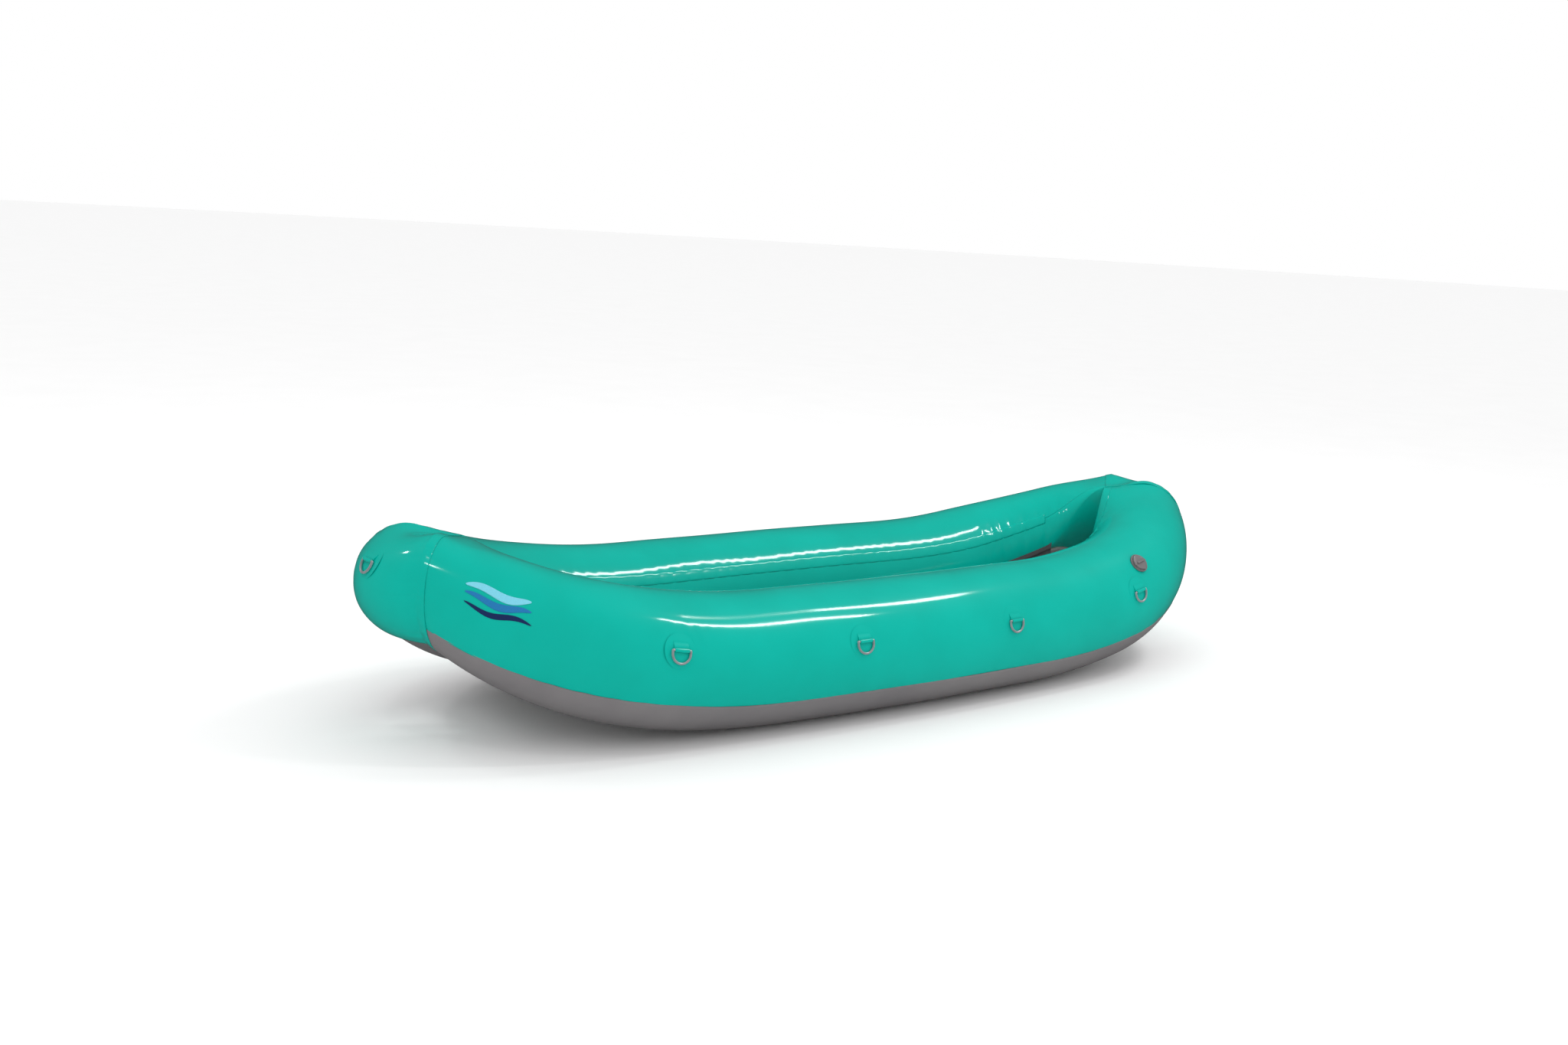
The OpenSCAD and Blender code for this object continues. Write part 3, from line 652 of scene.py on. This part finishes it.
def floor_form(name, inset, rows, around):
    """A superellipse of power 2 / 0.4 for each section, whose top and bottom swell as a row of lobes.

    Its width follows the gap between the tubes, and the sections shrink to a line at both ends."""
    s = np.linspace(-FLOOR_HALF, FLOOR_HALF, rows)[:, None]
    t = np.radians(np.linspace(0, 360, around + 1)[:-1] + 0.5)[None, :]
    close = np.sqrt(1 - np.clip((np.abs(s) - (FLOOR_HALF - 0.03)) / 0.0301, 0, 1) ** 2)
    half = (well_half(s, FLOOR_LIFT + FLOOR_T) - FLOOR_FIT - inset) * (0.4 + 0.6 * close)
    x, _, z, _, _, _ = path(np.abs(s))
    across = np.sign(np.cos(t)) * np.abs(np.cos(t)) ** 0.4
    rise = np.sign(np.sin(t)) * np.abs(np.sin(t)) ** 0.4
    lobes = folds(np.pi * (across + 1) * LOBES, 3) * smooth(np.abs(rise), 0.6, 0.95) * (np.abs(across) < 0.93)
    tuck = 1 + 0.10 * lobes * (1 - smooth(np.abs(s), 0.86, 0.93))
    h = (FLOOR_T / 2 - inset) * close
    py = half * across
    pz = z - TUBE_R + FLOOR_LIFT + FLOOR_T / 2 + h * rise * tuck + 0.0004 * np.sin(40 * s + 3 * across)
    points = np.stack(np.broadcast_arrays(np.sign(s) * x, py, pz), -1)
    faces = grid_faces(rows, around, round_columns=True)
    mesh = to_mesh(name, points, faces)
    uv = np.stack(np.broadcast_arrays(s, half * across), -1).reshape(-1, 2)
    put_uv(mesh, faces, uv)
    clean(mesh, 1e-5)
    return mesh


floor_mesh = floor_form("floor_cover_fabric", 0.0, 181, 180)
floor_skin = add_piece("floor_cover_fabric", floor_mesh, GREY, "floor_cover",
                       ["floor_cover"])
thicken(floor_skin, 0.0012)
film_mesh = floor_form("floor_bladder_film", 0.004, 61, 60)
floor_film = add_piece("floor_bladder_film", film_mesh, FILM, "floor_bladder",
                       ["floor_bladder"])
for side, port, _ in sides():
    s = np.linspace(-FLOOR_HALF, FLOOR_HALF, 241)[:, None]
    w = np.linspace(0, 1, 13)[None, :]
    x, _, z, _, _, _ = path(np.abs(s))
    inner = well_half(s, FLOOR_LIFT + FLOOR_T) - FLOOR_FIT - 0.002
    outer = well_half(s, FLOOR_LIFT + FLOOR_T / 2) - 0.0006
    y = (inner + (outer - inner) * w) * (-1 if port else 1)
    sag = -0.004 * np.sin(np.pi * w) * (0.7 + 0.3 * np.sin(31 * s)) + 0.002
    between = 1 - bell(np.abs(x), 0.1, 0.02) - bell(np.abs(x), 0.3, 0.02)
    pz = z - TUBE_R + FLOOR_LIFT + FLOOR_T / 2 + sag * between
    points = np.stack(np.broadcast_arrays(np.sign(s) * x, y, pz), -1)
    faces = grid_faces(241, 13)
    mesh = to_mesh(f"{side}_flange_fabric", points, faces if not port else faces[:, ::-1])
    flat = np.stack(np.broadcast_arrays(s, y), -1).reshape(-1, 2)
    put_uv(mesh, faces if not port else faces[:, ::-1], flat)
    piece = add_piece(f"{side}_flange_fabric", mesh, GREY, f"{side}_floor_flange",
                      [f"{side}_floor_flange"])
    thicken(piece, 0.0016)
middle_half = float(well_half(np.array(0.0), FLOOR_LIFT + FLOOR_T)) - FLOOR_FIT
print("floor of", LOBES, "lobes,", round(2 * middle_half, 3), "m wide")

# %% [markdown]
# ## D-rings
#
# Ten steel rings carry the lines. Each hangs from its straight bar, which runs through a loop of
# webbing on a round patch welded to the skin. The bar is an axis that the ring swings about, so it
# sits exactly where the CAD frame has it; only the wire's form is drawn here, as a round section
# swept along the D.

# %% Metals and plastics
def brushed(name, colour, rough):
    """Bare steel: fine scratches a few tenths of a millimetre wide, and slow smears left by hands."""
    paint = Paint(name, Metallic=0.65)
    place = paint.objects()
    scratches = paint.noise(place, 900, 2.0, 0.8)
    smear = paint.noise(place, 60, 3.0, 0.6)
    paint.feed(Base_Color=paint.mix(smear.step(0.4, 0.7), colour, tuple(0.86 * c for c in colour[:3]) + (1,)),
               Roughness=rough + smear * 0.12, Normal=paint.bump(scratches, 0.25, 0.0001))
    return paint.material


def moulded(name, colour, rough, coat=0.0):
    """Moulded plastic: a fine sparked grain, and edges of a slightly paler colour where it rubs."""
    paint = Paint(name, Coat_Weight=coat, Specular_IOR_Level=0.4)
    place = paint.objects()
    grain = paint.noise(place, 1400, 2.0, 0.5)
    wear = paint.noise(place, 90, 4.0, 0.65)
    worn = tuple(min(1, 1.25 * c + 0.01) for c in colour[:3]) + (1,)
    paint.feed(Base_Color=paint.mix(wear.step(0.55, 0.75), colour, worn),
               Roughness=rough + wear * 0.12, Normal=paint.bump(grain, 0.3, 0.00015))
    return paint.material


def woven(name, colour, shade, pitch):
    """Narrow woven tape: warp and weft waves crossing at a pitch in metres."""
    paint = Paint(name, Specular_IOR_Level=0.25)
    place = paint.objects()
    turns = 1 / (2 * pitch)
    weave = paint.wave(place, turns, "X") * 0.5 + paint.wave(place, turns, "Z") * 0.5
    paint.feed(Base_Color=paint.mix(weave, shade, colour), Roughness=0.55 + weave * 0.15,
               Normal=paint.bump(weave, 0.6, 0.0004))
    return paint.material


STEEL = brushed("stainless steel", rgb(206, 210, 214), 0.34)
ZINC = brushed("zipper slider metal", rgb(160, 160, 164), 0.32)
VALVE = moulded("grey valve plastic", rgb(112, 108, 110), 0.34, 0.2)
PULL = moulded("grey pull plastic", rgb(106, 104, 106), 0.45)
RUBBER = moulded("black seal rubber", rgb(34, 34, 35), 0.6)
TAPE = woven("zipper tape", rgb(104, 101, 103), rgb(84, 82, 84), 0.0011)
print("six hard finishes and one woven")

# %% Addresses of the fittings
RING_PITCH, RING_THETA, END_RING_THETA = 0.482, 20.0, 33.0
BAR_Z, LEAN = 0.00605, math.radians(8)
VALVE_S, VALVE_THETA, FLOOR_VALVE_X = 0.758, 45.0, 0.250


def on_tube(s, theta, port=True):
    """Place and axes of a fitting: columns along the tube, up round it, and out of the surface."""
    x, y, z, heading, slope, radius = (float(v) for v in path(abs(s)))
    end, t = math.copysign(1, s), math.radians(theta)
    out = (radius * math.cos(t), radius / math.cos(slope) * math.sin(t))
    place = np.array([end * (x + out[0] * math.sin(heading)), -(y + out[0] * math.cos(heading)), z + out[1]])
    h, l, a = end * heading, end * slope, math.radians(90 - theta)
    head = np.array([[math.cos(h), -math.sin(h), 0], [math.sin(h), math.cos(h), 0], [0, 0, 1]])
    pitch = np.array([[math.cos(l), 0, -math.sin(l)], [0, 1, 0], [math.sin(l), 0, math.cos(l)]])
    roll = np.array([[1, 0, 0], [0, math.cos(a), -math.sin(a)], [0, math.sin(a), math.cos(a)]])
    axes = head @ pitch @ roll
    mirror = np.array([1, 1 if port else -1, 1])
    return place * mirror, axes * mirror[:, None]


def placed(points, address):
    place, axes = address
    return points @ axes.T + place


RINGS = [(f"{side}_ring_{i}", (i - 2.5) * RING_PITCH, RING_THETA, port, f"{side}_ring_mounts")
         for side, port, _ in sides() for i in (1, 2, 3, 4)]
RINGS += [("bow_ring", -NOSE_END, END_RING_THETA, True, "bow_ring_mount"),
          ("stern_ring", NOSE_END, END_RING_THETA, True, "stern_ring_mount")]
print(len(RINGS), "rings, the first at", on_tube(*RINGS[0][1:4])[0].round(3))

# %% D-rings
WIRE_R, RING_HALF, RING_LEG, WELD = 0.00275, 0.02225, 0.007, 0.0006


def d_line(n=26):
    """The wire's middle line: the bar, a leg, a half circle and a leg, with small bends at the corners."""
    corner = 0.0012
    turn = np.radians(np.linspace(0, 90, 7))
    half = [(RING_HALF - corner + corner * np.sin(t), -corner + corner * np.cos(t)) for t in turn]
    arc = [(RING_HALF * np.cos(t), -RING_LEG - RING_HALF * np.sin(t)) for t in np.linspace(0, np.pi, n)]
    bar = [(x, 0.0) for x in np.linspace(-RING_HALF + corner, RING_HALF - corner, 17)[1:-1]]
    left = [(-x, y) for x, y in half[::-1]]
    return np.array(bar + half + arc + left)


def sweep_round(line, radii, sides_n=16):
    """A closed wire: circles of 16 corners across a flat closed line, in the line's own frame."""
    ahead = np.roll(line, -1, 0) - np.roll(line, 1, 0)
    ahead /= np.linalg.norm(ahead, axis=1, keepdims=True)
    side = np.stack([ahead[:, 1], -ahead[:, 0]], 1)
    a = np.linspace(0, 2 * np.pi, sides_n + 1)[:-1]
    flat = line[:, None, :] + side[:, None, :] * (np.cos(a)[None, :, None] * radii[:, None, None])
    tall = np.broadcast_to(np.sin(a)[None, :] * radii[:, None], flat.shape[:2])
    return np.concatenate([flat, tall[..., None]], -1)


line = d_line()
# the bead where the wire was joined
weld = bell(line[:, 0], 0.004, 0.0012) * (np.abs(line[:, 1]) < 1e-6) * WELD
tilt = np.array([[1, 0, 0], [0, math.cos(LEAN), -math.sin(LEAN)], [0, math.sin(LEAN), math.cos(LEAN)]])
wire = sweep_round(line, WIRE_R + weld) @ tilt.T + [0, 0, BAR_Z]
for name, s, theta, port, mount in RINGS:
    points = placed(wire, on_tube(s, theta, port))
    mesh = to_mesh(name + "_steel", points, grid_faces(len(line), 16, True, True))
    clean(mesh, 1e-6)
    add_piece(name + "_steel", mesh, STEEL, name, [name])
print("wire of", len(line), "sections each")

# %% [markdown]
# ## Patches and webbing
#
# Each patch is a disc of hull fabric, pressed thin at its rim so that it melts into the skin, and the
# loop is a strap of the same fabric that starts on the patch, goes round the bar and comes back.

# %% Patches and webbing
PATCH_R, PATCH_T, WEB_HALF, WEB_T = 0.040, 0.0012, 0.018, 0.0015


def patch(address, radius):
    """A closed disc bent to the tube's roundness, pressed thinner over the outer half of its radius."""
    rho = np.concatenate([[0], np.linspace(0.12, 1, 22)])[:, None] * PATCH_R
    a = np.linspace(0, 2 * np.pi, 73)[:-1][None, :]
    x, y = rho * np.cos(a), rho * np.sin(a)
    rest = np.sqrt(np.maximum(radius**2 - y**2, 0)) - radius
    thick = 0.0003 + PATCH_T * smooth(PATCH_R - rho, 0, 0.022) + 0 * a
    top = np.stack([x, y, rest + thick], -1)
    under = np.stack([x, y, rest + 0.0001 + 0 * thick], -1)
    return np.concatenate([top, under[::-1]])


def webbing():
    """The inner and outer circle of a band of thickness WEB_T that goes once round the bar."""
    hole = WIRE_R + 0.0003
    a = np.radians(np.linspace(-62, 298, 41))
    circle_in = np.stack([hole * np.cos(a), BAR_Z + hole * np.sin(a)], 1)
    circle_out = np.stack([(hole + WEB_T) * np.cos(a), BAR_Z + (hole + WEB_T) * np.sin(a)], 1)
    return circle_in, circle_out


def band(section, half, n=13):
    """Sweeps a closed outline across the strap's width, with its outermost rows drawn in a little."""
    x = np.linspace(-half, half, n)
    pull = 1 - 0.06 * np.abs(x / half) ** 8
    middle = section.mean(0)
    rows = middle[None, None] + (section[None] - middle[None, None]) * pull[:, None, None]
    return np.concatenate([np.broadcast_to(x[:, None, None], (*rows.shape[:2], 1)), rows], -1)


def mount_mesh(name, addresses):
    """All patches and straps of one node in a single mesh."""
    verts, faces, start = [], [], 0
    for address, radius in addresses:
        disc = patch(address, radius)
        parts = [(disc, grid_faces(disc.shape[0], disc.shape[1], round_columns=True))]
        inner, outer = webbing()
        # the tube round the bar is one closed ring section: outer wall, then the inner wall back
        for wall in (outer, inner):
            tube_wall = band(wall[:-1], WEB_HALF)
            parts.append((tube_wall, grid_faces(13, len(wall) - 1, round_columns=True)))
        for edge in (-1, 1):
            rim_out = band(outer[:-1], WEB_HALF)[0 if edge < 0 else -1]
            rim_in = band(inner[:-1], WEB_HALF)[0 if edge < 0 else -1]
            parts.append((np.stack([rim_out, rim_in]), grid_faces(2, len(outer) - 1, round_columns=True)))
        tail = np.linspace(0.0035, 0.0200, 14)
        fall = np.sqrt(radius**2 - tail**2) - radius
        lift = 0.0016 + 2 * WEB_T * (1 - 0.92 * smooth(tail, 0.006, 0.0200))
        under = np.stack([tail[::-1], fall[::-1] + 0.0009], 1)
        loop = np.concatenate([np.stack([tail, fall + lift], 1), under])
        flat = band(loop, WEB_HALF)
        parts.append((flat, grid_faces(13, len(loop), round_columns=True)))
        for edge in (0, -1):
            caps = np.stack([flat[edge][:14], flat[edge][14:][::-1]])
            parts.append((caps, grid_faces(2, 14)))
        for points, quads in parts:
            flatp = placed(points.reshape(-1, 3), address)
            verts.append(flatp)
            faces.append(quads + start)
            start += len(flatp)
    mesh = to_mesh(name, np.concatenate(verts), np.concatenate(faces))
    return mesh


for node in ("port_ring_mounts", "starboard_ring_mounts", "bow_ring_mount", "stern_ring_mount"):
    addresses = [(on_tube(s, theta, port), float(path(abs(s))[5]))
                 for _, s, theta, port, mount in RINGS if mount == node]
    mesh = mount_mesh(node + "_fabric", addresses)
    uv = np.array([v.co[:] for v in mesh.vertices])[:, [0, 2]]
    layer = mesh.uv_layers.new(name="cloth")
    corner = np.zeros(len(mesh.loops), int)
    mesh.loops.foreach_get("vertex_index", corner)
    layer.data.foreach_set("uv", uv[corner].astype(np.float32).ravel())
    clean(mesh, 2e-6)
    add_piece(node + "_fabric", mesh, TEAL, node, [node], smooth_by=50)
print("patches of", PATCH_R * 2000, "mm")

# %% [markdown]
# ## Zippers
#
# A zipper closes each tube on its inboard side, where the grey wrap ends, and one lies on the floor.
# Each is a woven tape with two rows of moulded teeth that meet in the middle. The teeth are one
# block shape repeated every 3 mm, first from one side and then from the other.

# %% Zippers
ZIP_HALF, TAPE_HALF, TAPE_T, TOOTH = 1.000, 0.015, 0.0012, 0.0030
TEETH = moulded("zipper teeth", rgb(70, 69, 71), 0.4)


def tape_form(name, surface, length, rows, address=None):
    """The tape: surface(s, y, z) bends a flat strip; two ridges beside the teeth are the chain's cords."""
    y = np.linspace(-TAPE_HALF, TAPE_HALF, 25)
    z = 0.0003 + TAPE_T + 0.0002 * (bell(y, -0.0034, 0.0007) + bell(y, 0.0034, 0.0007))
    outline_y = np.concatenate([y, y[::-1]])
    outline_z = np.concatenate([z, np.full(25, 0.0003)])
    s = np.linspace(-length, length, rows)
    points = surface(s[:, None], outline_y[None, :], outline_z[None, :])
    faces = grid_faces(rows, 50, round_columns=True).tolist()
    first, last = list(range(50)), list(range((rows - 1) * 50, rows * 50))
    mesh = bpy.data.meshes.new(name)
    mesh.from_pydata(points.reshape(-1, 3).tolist(), [], faces + [first, last])
    clean(mesh)
    return mesh


def teeth_form(name, surface, length):
    """Blocks of eight corners, one every TOOTH metres on alternate sides of the middle line."""
    n = int(2 * length / TOOTH)
    s = -length + TOOTH * (np.arange(n) + 0.5)
    side = np.where(np.arange(n) % 2, 1, -1)
    ds = np.array([-1, 1, 1, -1, -0.8, 0.8, 0.8, -0.8]) * TOOTH * 0.36
    dy = np.array([-1, -1, 1, 1, -0.9, -0.9, 0.9, 0.9]) * 0.0021
    dz = np.array([0, 0, 0, 0, 1, 1, 1, 1]) * 0.0015 + 0.0017
    points = surface(s[:, None] + ds, dy + side[:, None] * 0.0007, np.broadcast_to(dz, (n, 8)))
    block = np.array([[0, 3, 2, 1], [4, 5, 6, 7], [0, 1, 5, 4], [1, 2, 6, 5], [2, 3, 7, 6], [3, 0, 4, 7]])
    faces = (block[None] + 8 * np.arange(n)[:, None, None]).reshape(-1, 4)
    mesh = to_mesh(name, points, faces)
    clean(mesh, 1e-7)
    return mesh


def on_side(port):
    return lambda s, y, z: tube(s, ZIP_THETA + np.degrees(y / TUBE_R), z, port)


def on_floor(s, y, z):
    """The floor's zipper lies flat on the level middle of the air floor."""
    s, y, z = np.broadcast_arrays(s, y, z)
    return np.stack([s, y - 0.060, z + FLOOR_LIFT + FLOOR_T], -1)


for side, surface, length, rows in (("port", on_side(True), ZIP_HALF, 267),
                                    ("starboard", on_side(False), ZIP_HALF, 267),
                                    ("floor", on_floor, 0.250, 67)):
    node = f"{side}_zipper"
    tape = tape_form(f"{node}_tape", surface, length, rows)
    add_piece(f"{node}_tape", tape, TAPE, node, [node], 40)
    teeth = teeth_form(f"{node}_teeth", surface, length)
    add_piece(f"{node}_teeth", teeth, TEETH, node, [node], 30)
print("teeth every", TOOTH * 1000, "mm")

# %% [markdown]
# ## Valves, sliders and eyelets
#
# The hard fittings are already right in the CAD frame, so they are carried over: a copy of each keeps
# the modelled shape, its doubles are merged and its edges are broken by a small bevel, since no
# moulded or cast edge is perfectly sharp.

# %% Valves, sliders and eyelets
HARD = {
    "valve_body": (VALVE, 0.0006, "valve_plastic"), "valve_nut": (VALVE, 0.0006, "valve_plastic"),
    "valve_poppet": (VALVE, 0.0004, "valve_plastic"), "valve_cap": (VALVE, 0.0006, "valve_plastic"),
    "valve_seal": (RUBBER, 0.0, "seal_rubber"), "valve_spring": (STEEL, 0.0, "stainless"),
    "zip_slider": (ZINC, 0.0005, "zip_metal"), "zip_pull": (PULL, 0.0005, "pull_plastic"),
}


def fine_copy(node, material, bevel):
    """A merged copy of a CAD node, with a bevel on edges over 30 degrees, that stands for it."""
    source = bpy.data.objects[node]
    mesh = source.data.copy()
    mesh.transform(source.matrix_world)
    mesh.name = node + "_fine"
    mesh.materials.clear()
    clean(mesh, 2e-6)
    piece = add_piece(node + "_fine", mesh, material, node, [node], smooth_by=35)
    if bevel:
        edge = piece.modifiers.new("edges", "BEVEL")
        edge.width, edge.segments, edge.limit_method, edge.angle_limit = bevel, 2, "ANGLE", math.radians(30)
    return piece


for where in ("port", "starboard", "floor"):
    for kind, (material, bevel, slot) in HARD.items():
        fine_copy(f"{where}_{kind}", material, bevel)
fine_copy("drain_grommets", STEEL, 0.0002)
print(3 * len(HARD) + 1, "fittings")

# %% [markdown]
# ## Decal
#
# The port bow carries a printed mark. A plain one stands in for it: three waves of different blues,
# welded on as a thin film. Each wave is a strip between two sine curves, laid on the tube by the
# same address as the skin.

# %% Decal
DECAL_S, DECAL_THETA, DECAL_L, DECAL_H = -1.052, 27.0, 0.120, 0.062


def print_ink(name, colour):
    ink = Paint(name, Coat_Roughness=0.2, Specular_IOR_Level=0.3)
    cloud = ink.noise(ink.objects(), 300, 2.0, 0.6)
    ink.feed(Base_Color=ink.mix(cloud.step(0.3, 0.7), colour, tuple(0.92 * c for c in colour[:3]) + (1,)),
             Roughness=0.28 + cloud * 0.12, Coat_Weight=0.25 + cloud * 0.1)
    return ink.material


INKS = [print_ink("light blue print", rgb(120, 205, 226)), print_ink("mid blue print", rgb(20, 118, 178)),
        print_ink("navy print", rgb(14, 40, 92))]
for k, (name, ink) in enumerate(zip(("light", "mid", "navy"), INKS)):
    u = np.linspace(0, 1, 97)
    crest = (1 - k) * 0.33 + 0.08 * np.sin(2 * np.pi * (1.15 * u + 0.16 * k))
    body_w = (0.15 - 0.03 * k) * np.sin(np.pi * u) ** 0.5
    v = np.linspace(-1, 1, 9)
    height = (crest[:, None] + body_w[:, None] * v[None, :]) * DECAL_H
    s = DECAL_S + DECAL_L * (u[:, None] - 0.5) + 0 * v
    theta = DECAL_THETA + np.degrees(height / 0.130)
    points = tube(s, theta, untrue(s, theta, 0.0) + 0.0007)
    mesh = to_mesh(f"decal_{name}", points, grid_faces(97, 9))
    clean(mesh, 1e-6)
    piece = add_piece(f"decal_{name}", mesh, ink, "port_cover")
    thicken(piece, 0.0004)
print("decal", DECAL_L * 1000, "by", DECAL_H * 1000, "mm")

# %% [markdown]
# ## Floor and light
#
# The boat stands on a plain white floor under soft, even light, with four lamps whose
# reflections draw the bright streaks on the shoulders of the tubes. Each lamp is given as a direction
# from the boat, a distance and a size, and points back at the middle of the boat.

# %% Floor and light
RADIUS = 60.0
ring = np.linspace(0, 2 * np.pi, 97)[:-1]
disc = np.column_stack([RADIUS * np.cos(ring), RADIUS * np.sin(ring), np.full(96, -0.001)])
floor = bpy.data.objects.new("floor", to_mesh("floor", disc, [list(range(96))]))
bpy.context.scene.collection.objects.link(floor)
floor_paint = Paint("pale floor", Roughness=0.7, Specular_IOR_Level=0.1)
speck = floor_paint.noise(floor_paint.objects(), 3.0)
floor_paint.feed(Base_Color=floor_paint.mix(speck, (0.92, 0.92, 0.92, 1), (0.95, 0.95, 0.95, 1)))
floor.data.materials.append(floor_paint.material)
floor.visible_glossy = False      # the white floor isn't mirrored in the coat of the lower tube
floor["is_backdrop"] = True


def lamp(name, azimuth, elevation, size, watts, streak):
    """A rectangular lamp 5 m away in that direction from the point of the boat where its streak lies.

    Azimuth 0 is to port and 90 astern."""
    light = bpy.data.lights.new(name, "AREA")
    light.shape, light.size, light.size_y = "RECTANGLE", *size
    light.energy = watts
    made = bpy.data.objects.new(name, light)
    bpy.context.scene.collection.objects.link(made)
    a, e = math.radians(azimuth), math.radians(elevation)
    away = Vector((math.sin(a) * math.cos(e), -math.cos(a) * math.cos(e), math.sin(e)))
    made.location = Vector(streak.tolist()) + away * 5.0
    made.rotation_mode = "QUATERNION"
    made.rotation_quaternion = (-away).to_track_quat("-Z", "Y")
    return made


lamp("key", 63, 51, (0.22, 1.10), 27, tube(-0.506, 43.5))
lamp("second", 85, 51, (0.34, 1.00), 27, tube(-0.147, 51.5))
lamp("bow", -63, 68, (0.30, 0.30), 8, tube(-HALF_L, 50.0))
lamp("behind", -150, 48, (0.50, 0.30), 12, tube(-NOSE_END, 70.0))

world = bpy.data.worlds.new("studio")
bpy.context.scene.world = world
world.use_nodes = True
tree = world.node_tree
sky = tree.nodes["Background"]
sky.inputs["Color"].default_value = (1, 1, 1, 1)
sky.inputs["Strength"].default_value = 1.10
dim = tree.nodes.new("ShaderNodeBackground")
dim.inputs["Color"].default_value = (1, 1, 1, 1)
dim.inputs["Strength"].default_value = 0.05
white = tree.nodes.new("ShaderNodeBackground")
white.inputs["Color"].default_value = (1, 1, 1, 1)
white.inputs["Strength"].default_value = 1.0
rays = tree.nodes.new("ShaderNodeLightPath")
gloss, seen = (tree.nodes.new("ShaderNodeMixShader") for _ in range(2))
tree.links.new(rays.outputs["Is Glossy Ray"], gloss.inputs[0])
tree.links.new(sky.outputs[0], gloss.inputs[1])
tree.links.new(dim.outputs[0], gloss.inputs[2])
tree.links.new(rays.outputs["Is Camera Ray"], seen.inputs[0])
tree.links.new(gloss.outputs[0], seen.inputs[1])
tree.links.new(white.outputs[0], seen.inputs[2])
tree.links.new(seen.outputs[0], tree.nodes["World Output"].inputs["Surface"])
bpy.context.scene.view_settings.view_transform = "Standard"

# %% Size and finish
made_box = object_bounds()
for label, corners in (("CAD box", cad_box), ("visual box", made_box)):
    print(label, [round(v, 4) for c in corners for v in c])
